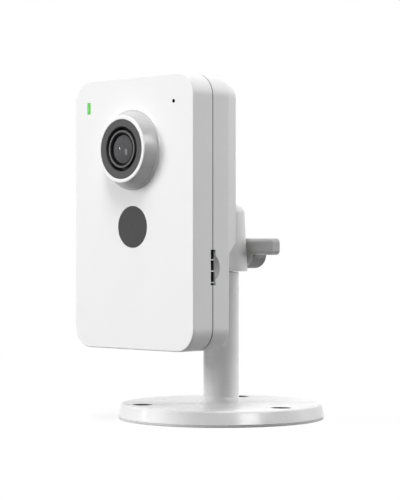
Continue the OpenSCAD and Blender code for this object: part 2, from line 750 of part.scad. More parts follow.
module rear_cover() {
    color("gainsboro") difference() {
        union() {
            difference() {
                union() {
                    housing_plate(0, front_d, side_d);
                    raised_back(0, side_d, back_d);
                }
                housing_plate(wall, front_d - eps, side_d - wall);
                raised_back(wall, side_d - wall - eps, inner_back);
            }
            // Lip that locates the cover inside the front one
            difference() {
                housing_plate(wall + slip_gap, front_d - lip_l, front_d + wall);
                housing_plate(wall + slip_gap + lip_t, front_d - lip_l - eps, front_d + wall + eps);
                at(half_w - wall, card_z)
                    block(4 * lip_t, slot_l + 2 * wall, front_d - lip_l - eps, front_d);
                for (c = columns) at(c[0], c[1])
                    rod(column_r + slip_gap, front_d - lip_l - eps, front_d);
            }
            // Step that carries the lip
            difference() {
                housing_plate(wall / 2, front_d, front_d + wall);
                housing_plate(wall + slip_gap + lip_t, front_d - eps, front_d + wall + eps);
            }
            intersection() {
                union() {
                    housing_plate(wall / 2, front_d, side_d - wall / 2);
                    raised_back(wall / 2, side_d - wall, back_d - wall / 2);
                }
                for (c = columns) at(c[0], c[1]) rod(column_r, front_d, c[2] - wall / 2);
            }
            // Stud boss
            at(0, ball_z) rod(boss_r, boss_d, back_d);
            // Speaker ring
            at(0, speaker_z) difference() {
                rod(speaker_r + speaker_ring, inner_back - speaker_t / 2, inner_back + eps);
                rod(speaker_r + slip_gap, inner_back - speaker_t / 2 - eps, inner_back + 2 * eps);
            }
        }
        at(0, ball_z) rod(shank_r + turn_gap, boss_d - eps, back_d + eps);
        // Room for the stud's nut and washer in a shallower housing
        at(0, ball_z) rod(stud_washer_r + rest_gap, stud_end_d, boss_d);
        for (c = columns) at(c[0], c[1]) {
            rod(housing_screw_r + slip_gap, front_d - eps, c[2]);
            rod(housing_head_r + slip_gap, c[2] - housing_head_set - housing_head_h, c[2] + eps);
        }
        card_slot();
        translate([half_w + scoop_ball_r - scoop_deep, behind(slot_back + scoop_out - scoop_edge_r), card_z])
            sphere(scoop_ball_r);
        at(jack_x, port_z) port_hole(jack_w, jack_h);
        at(-power_x, port_z) port_hole(power_w, power_w);
        at(-reset_x, port_z) rod(reset_r + slip_gap, side_d - wall - eps, side_d + eps);
        at(0, speaker_z) grille();
    }
}

// Hole in the rear wall round a socket of the given size
module port_hole(w, h) {
    block(w + 2 * port_gap, h + 2 * port_gap, side_d - wall - eps, side_d + eps);
}

// Holes in front of the speaker: one in the middle and rings of six more each
module grille() {
    rod(grille_r, inner_back - eps, back_d + eps);
    for (ring = [1:grille_rings], k = [0:6 * ring - 1])
        rotate([0, 60 * k / ring, 0]) translate([ring * grille_step, 0, 0])
            rod(grille_r, inner_back - eps, back_d + eps);
}

module housing_screws() {
    color("silver") for (c = columns) at(c[0], c[1]) {
        seat = c[2] - housing_head_set - housing_head_h;
        face_screw(housing_screw_r, housing_head_r, housing_head_h, seat - wall - rest_gap, seat);
    }
}

// ---- Lens ----

module lens_shroud() {
    color("white") at(0, lens_z) difference() {
        union() {
            rod(shroud_foot_r, -shroud_lip, 0);
            taper(shroud_rim_r, shroud_foot_r - shroud_lip, rim_d, -shroud_lip);
            rod(spigot_r, -eps, wall);
        }
        rod(shroud_open_r, rim_d - eps, bezel_d + bezel_t);
        rod(shroud_open_r - bezel_ledge, rim_d - eps, wall + eps);
    }
}

// Black disc with a cup behind it that closes the gap round the barrel's head
module lens_bezel() {
    floor_d = barrel_head_back + slip_gap;
    color("dimgray") at(0, lens_z) difference() {
        union() {
            rod(shroud_open_r, bezel_d, bezel_d + bezel_t);
            rod(bezel_hole_r + cup_wall, bezel_d, floor_d + cup_wall);
        }
        rod(bezel_hole_r, bezel_d - eps, floor_d);
        rod(barrel_r + slip_gap, bezel_d, floor_d + cup_wall + eps);
    }
}

module lens_barrel() {
    color("black") at(0, lens_z) difference() {
        union() {
            rod(barrel_head_r, barrel_d, barrel_head_back);
            rod(barrel_r, barrel_head_back - eps, barrel_back);
        }
        rod(barrel_head_r - ring_rim, barrel_d - eps, barrel_d + ring_t);
        rod(glass_r, barrel_d - eps, barrel_d + ring_t + glass_t);
        rod(rear_glass_r - rear_glass_t / 2, barrel_d, barrel_back + eps);
        rod(rear_glass_r, barrel_back - rear_glass_t, barrel_back + eps);
    }
}

module lens_ring() {
    back = barrel_d + ring_t - slip_gap;
    color("gray") at(0, lens_z) difference() {
        rod(barrel_head_r - ring_rim, barrel_d, back);
        taper(ring_in_r, glass_r - slip_gap, barrel_d, back);
        rod(glass_r - slip_gap, barrel_d - eps, back + eps);
    }
}

// Front element: a flat disc with a domed face, cut from a ball
module front_lens() {
    seat = barrel_d + ring_t;
    dome_r = (pow(glass_r, 2) + pow(glass_dome, 2)) / (2 * glass_dome);
    color("slategray") at(0, lens_z) intersection() {
        rod(glass_r, seat - glass_dome, seat + glass_t);
        translate([0, behind(seat - glass_dome) + dome_r, 0]) sphere(dome_r, $fn = 256);
    }
}

module rear_lens() {
    color("slategray") at(0, lens_z)
        rod(rear_glass_r, barrel_back - rear_glass_t, barrel_back);
}

module lens_holder() {
    color("black") at(0, lens_z) difference() {
        union() {
            rod(holder_tube_r, wall + rest_gap, main_d + eps);
            block(holder_w, holder_w, main_d, holder_back);
            block(2 * holder_screw_x, 2 * ear_r, main_d, holder_back);
            for (x = [-1, 1]) at(x * holder_screw_x, 0) rod(ear_r, main_d, holder_back);
        }
        rod(barrel_r, wall, holder_back + eps);
        for (x = [-1, 1]) at(x * holder_screw_x, 0)
            rod(board_screw_r, main_d - eps, holder_back + eps);
    }
}

module lens_screws() {
    color("silver") for (p = lens_posts) at(p[0], p[1])
        face_screw(board_screw_r, board_head_r, board_head_h,
                   holder_t + board_screw_l, holder_back);
}

module filter_frame() {
    left = filter_frame_w / 2 - pocket_right - filter_frame_wall;
    color("dimgray") at(0, lens_z) difference() {
        at(-left, 0) block(filter_frame_w, filter_frame_h, holder_back, filter_back);
        rod(light_path_r, holder_back - eps, filter_back + eps);
        at(pocket_right - pocket_w / 2, 0)
            block(pocket_w, filter_h + 2 * slip_gap, filter_d - slip_gap, pocket_d1);
        block(sensor_w + 2 * rest_gap, sensor_h + 2 * rest_gap, sensor_d - rest_gap, filter_back + eps);
    }
}

module filter_coil() {
    color("chocolate") at(pocket_right - pocket_w / 2, lens_z - filter_frame_h / 2 - coil_r)
        translate([-coil_l / 2, behind(filter_back - filter_frame_t / 2), 0]) rotate([0, 90, 0])
            cylinder(r = coil_r, h = coil_l);
}

module ir_cut_filter() {
    color("teal") at(0, lens_z) block(filter_w, filter_h, filter_d, filter_d + filter_t);
}

module image_sensor() {
    color("darkslateblue") at(0, lens_z) block(sensor_w, sensor_h, sensor_d, filter_back);
}

module sensor_board() {
    color("darkgreen") at(0, lens_z)
        block(sensor_board_w, sensor_board_w, filter_back, sensor_board_back);
}

// Flat cable from the back of the sensor's board down to the main board's back
module sensor_cable() {
    z0 = lens_z - sensor_board_w / 2;
    t = flat_cable_t;
    run = flat_cable_end;
    fall = sensor_board_back - main_back;
    color("peru") translate([-flat_cable_w / 2, 0, 0]) rotate([90, 0, 90]) linear_extrude(flat_cable_w)
        polygon([[behind(sensor_board_back), z0 + run], [behind(sensor_board_back + t), z0 + run],
                 [behind(sensor_board_back + t), z0 - t], [behind(main_back + t), z0 - fall],
                 [behind(main_back + t), z0 - fall - run], [behind(main_back), z0 - fall - run],
                 [behind(main_back), z0 - fall + t], [behind(sensor_board_back), z0]]);
}

// ---- Window, light and microphone ----

module ir_window() {
    color("dimgray") at(0, window_z) rod(window_r, 0, window_t);
}

module ir_reflector() {
    color("silver") at(-ir_led_x, window_z) difference() {
        rod(reflector_r, wall + rest_gap, main_d);
        taper(reflector_r - reflector_wall, ir_led_r + slip_gap,
              wall + rest_gap - eps, main_d - ir_led_h / 2);
        rod(ir_led_r + slip_gap, wall, main_d + eps);
    }
}

module ir_led() {
    color("lightsteelblue") at(-ir_led_x, window_z) intersection() {
        rod(ir_led_r, main_d - ir_led_h, main_d);
        union() {
            rod(ir_led_r, main_d - ir_led_h + ir_led_r, main_d);
            translate([0, behind(main_d - ir_led_h + ir_led_r), 0]) sphere(ir_led_r);
        }
    }
}

module light_sensor() {
    color("lightyellow") at(light_sensor_x, window_z)
        rod(light_sensor_r, main_d - light_sensor_h, main_d);
}

module light_pipe() {
    color("limegreen") at(led_x, led_z) union() {
        block(led_w, led_h, 0, main_d - lamp_h - rest_gap);
        block(led_w + 2 * pipe_shoulder, led_h + pipe_shoulder, wall, wall + pipe_shoulder);
    }
}

module status_led() {
    color("yellowgreen") at(led_x, led_z) block(led_w, led_w, main_d - lamp_h, main_d);
}

module microphone() {
    color("silver") at(mic_x, mic_z) rod(mic_r, main_d - mic_h, main_d);
}

module mic_boot() {
    color("black") at(mic_x, mic_z) difference() {
        rod(mic_r + boot_wall, wall, main_d);
        rod(mic_r, main_d - mic_h, main_d + eps);
        rod(mic_hole_r, wall - eps, main_d);
    }
}

// ---- Main board ----

module main_board() {
    cut_w = 2 * (holder_screw_x + ear_r + cutout_gap);
    color("darkgreen") difference() {
        at(0, (main_z0 + main_z1) / 2)
            plate(main_w, main_z1 - main_z0, board_corner_r, main_d, main_back);
        at(0, lens_z) block(cut_w, holder_w + 2 * cutout_gap, main_d - eps, main_back + eps);
        for (p = main_posts) at(p[0], p[1]) rod(board_screw_r, main_d - eps, main_back + eps);
        at(0, columns[2][1]) rod(column_r + rest_gap, main_d - eps, main_back + eps);
    }
}

module processor() {
    color("black") at(-chip_x, chip_z) block(chip_w, chip_w, main_back, pad_d);
}

module thermal_pad() {
    color("lightblue") at(-chip_x, chip_z) block(chip_w, chip_w, pad_d, spreader_d);
}

// Folded plate that stands on the main board by its two side feet
module heat_spreader() {
    side = spreader_w / 2 - spreader_foot / 2;
    color("lightgray") at(-chip_x, chip_z) union() {
        block(spreader_w, spreader_h, spreader_d, spreader_d + spreader_t);
        for (x = [-side, side]) at(x, 0) block(spreader_foot, spreader_h / 2, main_back, spreader_d + eps);
    }
}

module memory_chip() {
    color("black") at(memory_x, memory_z) block(memory_w, memory_h, main_back, main_back + memory_t);
}

module card_socket() {
    open_h = slot_l - 4 * socket_wall;
    open_d = socket_t - 2 * socket_wall;
    color("silver") translate([main_right - socket_l, 0, card_z]) difference() {
        translate([0, behind(main_back), -slot_l / 2]) cube([socket_l, socket_t, slot_l]);
        translate([socket_wall, behind(card_d - open_d / 2), -open_h / 2])
            cube([socket_l, open_d, open_h]);
    }
}

module board_screws() {
    color("silver") {
        for (p = main_posts) at(p[0], p[1])
            face_screw(board_screw_r, board_head_r, board_head_h, board_t + board_screw_l, main_back);
        for (p = port_posts) at(p[0], p[1])
            face_screw(board_screw_r, board_head_r, board_head_h, board_t + board_screw_l, port_back);
    }
}

// ---- Ports ----

module port_board() {
    color("darkgreen") difference() {
        at(0, port_z) block(port_board_w, port_board_h, port_d, port_back);
        for (p = port_posts) at(p[0], p[1]) rod(board_screw_r, port_d - eps, port_back + eps);
        for (c = columns) at(c[0], c[1]) rod(column_r + rest_gap, port_d - eps, port_back + eps);
    }
}

// Flat cable from the port board's back up to the main board's back
module port_cable() {
    z0 = port_board_z1;
    t = flat_cable_t;
    run = flat_cable_end;
    up = main_z0;
    color("peru") translate([-reset_x - flat_cable_w / 2, 0, 0]) rotate([90, 0, 90])
        linear_extrude(flat_cable_w)
        polygon([[behind(port_back), z0 - run], [behind(port_back + t), z0 - run],
                 [behind(port_back + t), z0], [behind(main_back + t), up - t],
                 [behind(main_back + t), up + run], [behind(main_back), up + run],
                 [behind(main_back), up], [behind(port_back), z0 + t]]);
}

module ethernet_jack() {
    face = side_d - port_set;
    color("silver") at(jack_x, port_z) difference() {
        block(jack_w, jack_h, port_back, face);
        block(plug_w, plug_h, face - plug_l, face + eps);
        at(0, -(plug_h + latch_h) / 2) block(latch_w, latch_h + 2 * eps, face - plug_l, face + eps);
    }
}

module power_jack() {
    face = side_d - port_set;
    color("black") at(-power_x, port_z) union() {
        difference() {
            block(power_w, power_w, port_back, face);
            rod(power_hole_r, face - power_hole_l, face + eps);
        }
        rod(power_pin_r, face - power_hole_l - eps, face - power_pin_set);
    }
}

module reset_switch() {
    color("dimgray") at(-reset_x, port_z) block(switch_w, switch_w, port_back, switch_back);
}

module reset_button() {
    color("black") at(-reset_x, port_z) union() {
        rod(reset_r, reset_foot_d, reset_tip_d);
        rod(reset_shoulder_r, reset_shoulder_d, reset_shoulder_d + reset_shoulder_t);
    }
}

// ---- Speaker and aerial ----

module speaker() {
    back = inner_back - magnet_t;
    color("dimgray") at(0, speaker_z) union() {
        rod(speaker_r, inner_back - speaker_t + magnet_t, inner_back);
        rod(magnet_r, inner_back - speaker_t, back);
    }
}

module aerial() {
    right = column_r + aerial_gap;
    left = half_w - wall - bulge_in - aerial_side;
    color("goldenrod")
        at(-(left + right) / 2, body_z1 - wall - bulge_in - aerial_gap - aerial_h / 2)
        block(left - right, aerial_h, inner_back - aerial_t, inner_back);
}

// ---- Ball stud: its axis is the housing's roll axis ----

module ball_stud() {
    flange_d = back_d + rest_gap;
    color("lightgray") at(0, ball_z) union() {
        translate([0, ball_y, 0]) sphere(ball_r);
        bar(neck_r, behind(flange_d), ball_y);
        rod(flange_r, flange_d, flange_d + flange_t);
        rod(shank_r, stud_end_d, flange_d + eps);
    }
}

module stud_washer() {
    color("silver") at(0, ball_z) difference() {
        rod(stud_washer_r, nut_d, washer_d);
        rod(shank_r, nut_d - eps, washer_d + eps);
    }
}

module stud_nut() {
    color("silver") at(0, ball_z) difference() {
        translate([0, behind(nut_d), 0]) rotate([90, 0, 0])
            cylinder(r = stud_nut_r, h = stud_nut_t, $fn = 6);
        rod(shank_r, stud_end_d - eps, nut_d + eps);
    }
}

// ---- Head ----

module head() {
    side = neck_r + neck_gap;
    far = 2 * head_r;
    up0 = side / cos(tilt_up);
    down0 = side / cos(tilt_down);
    color("gainsboro") difference() {
        union() {
            translate([0, 0, head_up]) rotate_extrude() head_outline();
            translate([0, 0, head_up - swivel_l]) cylinder(r = swivel_r, h = swivel_l + eps);
        }
        translate([0, ball_y, ball_z]) {
            ball_cage(far);
            // Slot that the neck tilts in
            translate([-side, 0, 0]) rotate([90, 0, 90]) linear_extrude(2 * side)
                polygon([[0, up0], [-far, up0 + far * tan(tilt_up)],
                         [-far, -down0 - far * tan(tilt_down)], [0, -down0]]);
        }
        translate([0, 0, head_up - swivel_l - eps])
            cylinder(r = swivel_screw_r, h = swivel_screw_l + eps);
    }
}

// Ball socket: half a ball, open to the back over the given length
module ball_cage(length) {
    rotate([-90, 0, 0]) rotate_extrude() {
        intersection() {
            circle(cage_r);
            translate([0, -cage_r]) square([cage_r, cage_r + eps]);
        }
        square([cage_r, length]);
    }
}

// Half outline of the head: a slightly tapered side and a rounded top
module head_outline() {
    side_h = head_h - head_edge_r;
    polygon([[0, 0], [head_r, 0], [head_top_r, side_h], [0, side_h]]);
    square([head_top_r - head_edge_r, head_h]);
    intersection() {
        translate([head_top_r - head_edge_r, side_h]) circle(head_edge_r);
        translate([0, side_h - eps]) square([head_top_r, head_edge_r + eps]);
    }
}

module swivel_screw() {
    color("silver") translate([0, 0, swivel_head_z]) difference() {
        union() {
            translate([0, 0, -swivel_head_h]) cylinder(r = swivel_head_r, h = swivel_head_h);
            translate([0, 0, -eps])
                cylinder(r = swivel_screw_r, h = head_up - swivel_l + swivel_screw_l - swivel_head_z + eps);
        }
        translate([0, 0, -swivel_head_h - eps])
            cylinder(r = swivel_head_r / 2, h = swivel_head_h / 2 + eps, $fn = 6);
    }
}

module swivel_washer() {
    color("silver") translate([0, 0, swivel_head_z]) difference() {
        cylinder(r = swivel_washer_r, h = swivel_washer_t);
        translate([0, 0, -eps]) cylinder(r = swivel_screw_r, h = swivel_washer_t + 2 * eps);
    }
}

// ---- Clamp ----

module clamp_plug() {
    color("goldenrod") difference() {
        intersection() {
            at(0, ball_z) bar(cage_r, plug_y0, plug_y1);
            translate([0, 0, head_up]) cylinder(r = head_at_ball_r - rest_gap, h = head_h);
        }
        at(0, ball_z) bar(clamp_screw_r + turn_gap, plug_y0 - eps, plug_y1 + eps);
    }
}

module clamp_shoe() {
    color("beige") at(0, ball_z) difference() {
        bar(cage_r - slip_gap, shoe_y0, shoe_y1);
        translate([0, ball_y, 0]) sphere(cage_r);
    }
}

module clamp_screw() {
    color("silver") at(0, ball_z) bar(clamp_screw_r, shoe_y1 + rest_gap, hub_y0 + clamp_grip);
}

// Hub with two wings: one level with its top, the other with its underside
module wing_knob() {
    color("darkgray") at(0, ball_z) difference() {
        union() {
            translate([0, hub_y0, 0]) rotate([-90, 0, 0]) rotate_extrude() hub_outline();
            for (turn = [0, 180]) rotate([0, turn, 0]) {
                intersection() {
                    translate([0, hub_y0 + wing_d, 0]) rotate([90, 0, 0])
                        linear_extrude(wing_d) wing_outline();
                    rotate([90, 0, 90]) linear_extrude(wing_r) wing_section();
                }
                translate([0, hub_y0 + wing_d, 0]) rotate([90, 0, 0])
                    linear_extrude(wing_d - knob_edge_r) wing_root();
            }
        }
        bar(clamp_screw_r, hub_y0 - eps, hub_y0 + clamp_grip);
    }
}

// Half outline of the hub, with a rounded front edge
module hub_outline() {
    translate([0, knob_edge_r]) square([hub_r, hub_l - knob_edge_r]);
    square([hub_r - knob_edge_r, hub_l]);
    intersection() {
        translate([hub_r - knob_edge_r, knob_edge_r]) circle(knob_edge_r);
        square([hub_r, knob_edge_r + eps]);
    }
}

// One wing seen from the front
module wing_outline() {
    reach = wing_r - wing_tip_r;
    translate([0, wing_z0]) square([reach, wing_h]);
    translate([0, wing_z0 + wing_tip_r]) square([wing_r, wing_h - 2 * wing_tip_r]);
    for (z = [wing_z0 + wing_tip_r, wing_z1 - wing_tip_r]) translate([reach, z]) circle(wing_tip_r);
}

// Section of a wing across its length, with rounded front edges
module wing_section() {
    front = hub_y0 + knob_edge_r;
    translate([front, wing_z0]) square([wing_d - knob_edge_r, wing_h]);
    translate([hub_y0, wing_z0 + knob_edge_r]) square([wing_d, wing_h - 2 * knob_edge_r]);
    for (z = [wing_z0 + knob_edge_r, wing_z1 - knob_edge_r]) translate([front, z]) circle(knob_edge_r);
}

// Rounding between a wing's underside and the hub
module wing_root() {
    z = wing_z0 - wing_root_r;
    x = sqrt(pow(hub_r - wing_set + wing_root_r, 2) - pow(z, 2));
    difference() {
        polygon([[0, 0], [x, wing_z0 + knob_edge_r], [x, z]]);
        translate([x, z]) circle(wing_root_r);
    }
}

// ---- Stand ----

module stand() {
    sole_r = foot_r - foot_rim;
    color("whitesmoke") difference() {
        union() {
            difference() {
                rotate_extrude() stand_outline();
                translate([0, 0, -eps]) cylinder(r = sole_r, h = weight_z1 + eps);
            }
            for (k = [0:hole_count - 1]) rotate(k * hole_turn) translate([hole_ring_r, 0, sole_z1])
                cylinder(r = hole_column_r, h = weight_t + eps);
        }
        translate([0, 0, -eps]) cylinder(r = pole_bore_r, h = shelf_z0 + eps);
        translate([0, 0, shelf_z0 - eps])
            cylinder(r = swivel_screw_r + turn_gap, h = shelf_t + 2 * eps);
        translate([0, 0, shelf_z1]) cylinder(r = swivel_r + turn_gap, h = swivel_l + 1);
        for (k = [0:hole_count - 1]) rotate(k * hole_turn) translate([hole_ring_r, 0, 0]) {
            cylinder(r = hole_r, h = foot_h + 1);
            translate([0, 0, foot_h - hole_head_l]) cylinder(r = hole_head_r, h = hole_head_l + 1);
        }
    }
}

// Half outline of the stand: foot, rounded edge, pole and the rounding at its foot
module stand_outline() {
    edge_z = foot_h - foot_edge_r;
    polygon([[0, foot_lift], [foot_r, foot_lift], [foot_top_r, edge_z], [0, edge_z]]);
    translate([0, foot_lift]) square([foot_top_r - foot_edge_r, foot_h - foot_lift]);
    intersection() {
        translate([foot_top_r - foot_edge_r, edge_z]) circle(foot_edge_r);
        translate([0, edge_z - eps]) square([foot_top_r, foot_edge_r + eps]);
    }
    translate([0, foot_h - eps]) square([pole_r, pole_top - foot_h + eps]);
    difference() {
        translate([0, foot_h - eps]) square([pole_r + pole_foot_r, pole_foot_r + eps]);
        translate([pole_r + pole_foot_r, foot_h + pole_foot_r]) circle(pole_foot_r);
    }
}

module base_weight() {
    color("dimgray") difference() {
        translate([0, 0, sole_z1]) cylinder(r = foot_r - foot_rim - rest_gap, h = weight_t);
        translate([0, 0, sole_z1 - eps]) cylinder(r = pole_bore_r, h = weight_t + 2 * eps);
        for (k = [0:hole_count - 1]) rotate(k * hole_turn) translate([hole_ring_r, 0, sole_z1 - eps])
            cylinder(r = hole_column_r + slip_gap, h = weight_t + 2 * eps);
    }
}

module base_pad() {
    color("black") difference() {
        cylinder(r = foot_r - foot_rim - slip_gap, h = sole_t);
        for (k = [0:hole_count - 1]) rotate(k * hole_turn) translate([hole_ring_r, 0, -eps])
            cylinder(r = hole_head_r, h = sole_t + 2 * eps);
    }
}

front_cover();
rear_cover();
housing_screws();
lens_shroud();
lens_bezel();
lens_barrel();
lens_ring();
front_lens();
rear_lens();
lens_holder();
lens_screws();
filter_frame();
filter_coil();
ir_cut_filter();
image_sensor();
sensor_board();
sensor_cable();
ir_window();
ir_reflector();
ir_led();
light_sensor();
light_pipe();
status_led();
microphone();
mic_boot();
main_board();
processor();
thermal_pad();
heat_spreader();
memory_chip();
card_socket();
board_screws();
port_board();
port_cable();
ethernet_jack();
power_jack();
reset_switch();
reset_button();
speaker();
aerial();
ball_stud();
stud_washer();
stud_nut();
head();
swivel_screw();
swivel_washer();
clamp_plug();
clamp_shoe();
clamp_screw();
wing_knob();
stand();
base_weight();
base_pad();
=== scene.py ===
import json
import math
import bmesh
import bpy
from mathutils import Matrix, Vector


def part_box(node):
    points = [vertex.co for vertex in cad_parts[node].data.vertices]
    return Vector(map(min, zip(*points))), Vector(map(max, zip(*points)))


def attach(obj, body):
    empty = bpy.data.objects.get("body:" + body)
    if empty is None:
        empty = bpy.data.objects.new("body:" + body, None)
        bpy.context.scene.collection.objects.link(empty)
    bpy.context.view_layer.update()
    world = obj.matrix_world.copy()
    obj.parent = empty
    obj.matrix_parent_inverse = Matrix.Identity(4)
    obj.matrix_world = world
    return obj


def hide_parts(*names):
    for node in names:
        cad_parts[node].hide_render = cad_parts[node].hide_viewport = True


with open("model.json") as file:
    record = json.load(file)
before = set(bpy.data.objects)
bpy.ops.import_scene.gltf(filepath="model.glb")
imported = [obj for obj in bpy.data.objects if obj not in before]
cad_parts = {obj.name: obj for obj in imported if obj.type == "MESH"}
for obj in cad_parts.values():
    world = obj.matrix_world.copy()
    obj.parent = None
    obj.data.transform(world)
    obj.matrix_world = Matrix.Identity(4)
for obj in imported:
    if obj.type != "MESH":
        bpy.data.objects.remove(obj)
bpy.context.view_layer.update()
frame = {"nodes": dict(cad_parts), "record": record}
print("frame loaded:", len(frame["nodes"]), "nodes")

mm = 0.001
scene = bpy.context.scene
scene.view_settings.view_transform = "Standard"


def middle(node):
    low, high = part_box(node)
    return (low + high) / 2


# Places that the pieces share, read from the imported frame
coverLow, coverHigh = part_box("front_cover")
coverMid = middle("front_cover")
faceY = coverLow.y
faceMm = faceY / mm
lensMid = middle("lens_shroud")
windowMid = middle("ir_window")
ledMid = middle("light_pipe")
micMid = middle("microphone")
jackMid = middle("ethernet_jack")
powerMid = middle("power_jack")
resetMid = middle("reset_button")
socketMid = middle("card_socket")
knobMid = middle("clamp_screw")


def direction(turn, rise):
    # Degrees round from straight ahead, and degrees up from the floor
    turn, rise = math.radians(turn), math.radians(rise)
    return Vector((math.sin(turn) * math.cos(rise), -math.cos(turn) * math.cos(rise), math.sin(rise)))


cameraSet = {
    "place": (0.51902, -0.53828, 0.07017),   # metres
    "turn": 44.63,                           # degrees
    "rise": 0.03,
    "lens": 129.49,                          # mm
    "sensor": 36,
    "nearest": 0.01,                         # metres
}


def makeCamera(look):
    data = bpy.data.cameras.new("studioCamera")
    data.sensor_width = look["sensor"]
    data.lens = look["lens"]
    data.clip_start = look["nearest"]
    camera = bpy.data.objects.new("studioCamera", data)
    scene.collection.objects.link(camera)
    camera.location = look["place"]
    back = direction(look["turn"], look["rise"])
    camera.rotation_euler = back.to_track_quat("Z", "Y").to_euler()
    scene.camera = camera


lightSet = {
    "aim": (0, -0.03, 0.075),    # metres
    "lamps": {
        # turn and rise in degrees, distance, width and height in metres, level
        "above": (10, 80, 3.0, 1.3, 1.3, 0.29),
        "high": (30, 62, 3.0, 1.0, 1.0, 0.48),
        "key": (24, 44, 3.2, 1.5, 1.5, 0.18),
        "front": (-38, 20, 3.0, 1.2, 1.2, 0.77),
        "rightBack": (152, 15, 2.0, 0.7, 1.5, 0.72),
        "left": (-108, 12, 1.8, 0.6, 1.0, 0.08),
        "strip": (76, 16, 2.0, 0.8, 0.4, 0.33),
        "band": (97, 30, 2.0, 0.6, 0.8, 0.24),
        "glint": (-53, 6.5, 1.0, 0.034, 0.034, 0.017),
        "softGlint": (-36, 1, 1.0, 0.10, 0.15, 0.04),
    },
    "hidden": ("front", "rightBack", "left", "high"),       # these don't show in a gloss
    "glossOnly": ("strip", "band", "glint", "softGlint"),   # and these show in nothing else
    "ambient": 0.02,
}


def softbox(name, turn, rise, distance, width, height, level):
    data = bpy.data.lights.new(name, "AREA")
    data.shape = "RECTANGLE"
    data.size = width
    data.size_y = height
    data.energy = math.pi ** 2 * distance ** 2 * level     # level 1 makes white that faces the lamp white
    light = bpy.data.objects.new(name, data)
    scene.collection.objects.link(light)
    away = direction(turn, rise)
    light.location = Vector(lightSet["aim"]) + away * distance
    light.rotation_euler = away.to_track_quat("Z", "Y").to_euler()
    light.visible_camera = False
    light.visible_glossy = name not in lightSet["hidden"]
    light.visible_diffuse = name not in lightSet["glossOnly"]


def colourOf(value):
    # One number is a grey
    return (value, value, value, 1) if isinstance(value, (int, float)) else (*value, 1)


def feed(links, value, socket):
    # A number is set on the socket, an output is linked to it
    if isinstance(value, (int, float)):
        socket.default_value = value
    else:
        links.new(value, socket)


def maths(nodes, links, operation, a, b):
    out = nodes.new("ShaderNodeMath")
    out.operation = operation
    feed(links, a, out.inputs[0])
    feed(links, b, out.inputs[1])
    return out.outputs[0]


def seenDirectly(nodes, links):
    # 1 for what the camera sees, also in a gloss or through glass
    path = nodes.new("ShaderNodeLightPath").outputs
    first = maths(nodes, links, "MAXIMUM", path["Is Camera Ray"], path["Is Glossy Ray"])
    return maths(nodes, links, "MAXIMUM", first, path["Is Transmission Ray"])


def makeWorld():
    world = bpy.data.worlds.new("studio")
    scene.world = world
    world.use_nodes = True
    nodes, links = world.node_tree.nodes, world.node_tree.links
    nodes.clear()
    fill = nodes.new("ShaderNodeBackground")
    fill.inputs["Color"].default_value = colourOf(1)
    fill.inputs["Strength"].default_value = lightSet["ambient"]
    white = nodes.new("ShaderNodeBackground")
    white.inputs["Color"].default_value = colourOf(1)
    mix = nodes.new("ShaderNodeMixShader")
    out = nodes.new("ShaderNodeOutputWorld")
    links.new(seenDirectly(nodes, links), mix.inputs["Fac"])
    links.new(fill.outputs[0], mix.inputs[1])
    links.new(white.outputs[0], mix.inputs[2])
    links.new(mix.outputs[0], out.inputs[0])


floorSet = {
    "size": 6.0,           # metres
    "tone": 0.9,
    "bounce": 0.13,        # what the floor gives back to the object
    "shade": 0.16,         # how much of the shadow shows
    "under": 0.0422,       # under the foot there is nothing but shadow
    "near": 0.10,          # the shadow fades out between these distances
    "far": 0.42,
}


def makeFloor(look):
    mesh = bpy.data.meshes.new("floor")
    half = look["size"] / 2
    corners = [(-half, -half, 0), (half, -half, 0), (half, half, 0), (-half, half, 0)]
    mesh.from_pydata(corners, [], [(0, 1, 2, 3)])
    floor = bpy.data.objects.new("floor", mesh)
    scene.collection.objects.link(floor)
    material = bpy.data.materials.new("paleFloor")
    material.use_nodes = True
    nodes, links = material.node_tree.nodes, material.node_tree.links
    nodes.clear()
    seen = seenDirectly(nodes, links)
    tone = nodes.new("ShaderNodeMix")
    tone.data_type = "RGBA"
    tone.inputs["A"].default_value = colourOf(look["bounce"])
    tone.inputs["B"].default_value = colourOf(look["tone"])
    links.new(seen, tone.inputs["Factor"])
    diffuse = nodes.new("ShaderNodeBsdfDiffuse")
    links.new(tone.outputs["Result"], diffuse.inputs["Color"])
    coord = nodes.new("ShaderNodeTexCoord")
    distance = nodes.new("ShaderNodeVectorMath")
    distance.operation = "LENGTH"
    links.new(coord.outputs["Object"], distance.inputs[0])
    fade = nodes.new("ShaderNodeMapRange")
    fade.inputs["From Min"].default_value = look["near"]
    fade.inputs["From Max"].default_value = look["far"]
    fade.inputs["To Min"].default_value = 1 - look["shade"]
    fade.inputs["To Max"].default_value = 1
    links.new(distance.outputs["Value"], fade.inputs["Value"])
    outside = maths(nodes, links, "GREATER_THAN", distance.outputs["Value"], look["under"])
    pale = maths(nodes, links, "MULTIPLY", outside, fade.outputs["Result"])
    white = nodes.new("ShaderNodeEmission")
    mix = nodes.new("ShaderNodeMixShader")
    links.new(maths(nodes, links, "MULTIPLY", seen, pale), mix.inputs["Fac"])
    links.new(diffuse.outputs[0], mix.inputs[1])
    links.new(white.outputs[0], mix.inputs[2])
    out = nodes.new("ShaderNodeOutputMaterial")
    links.new(mix.outputs[0], out.inputs["Surface"])
    mesh.materials.append(material)


makeCamera(cameraSet)
for lampName, lamp in lightSet["lamps"].items():
    softbox(lampName, *lamp)
makeWorld()
makeFloor(floorSet)
print("camera, lights and floor set")


# Effects that several finishes share: node groups that put out a mask, a roughness and a normal

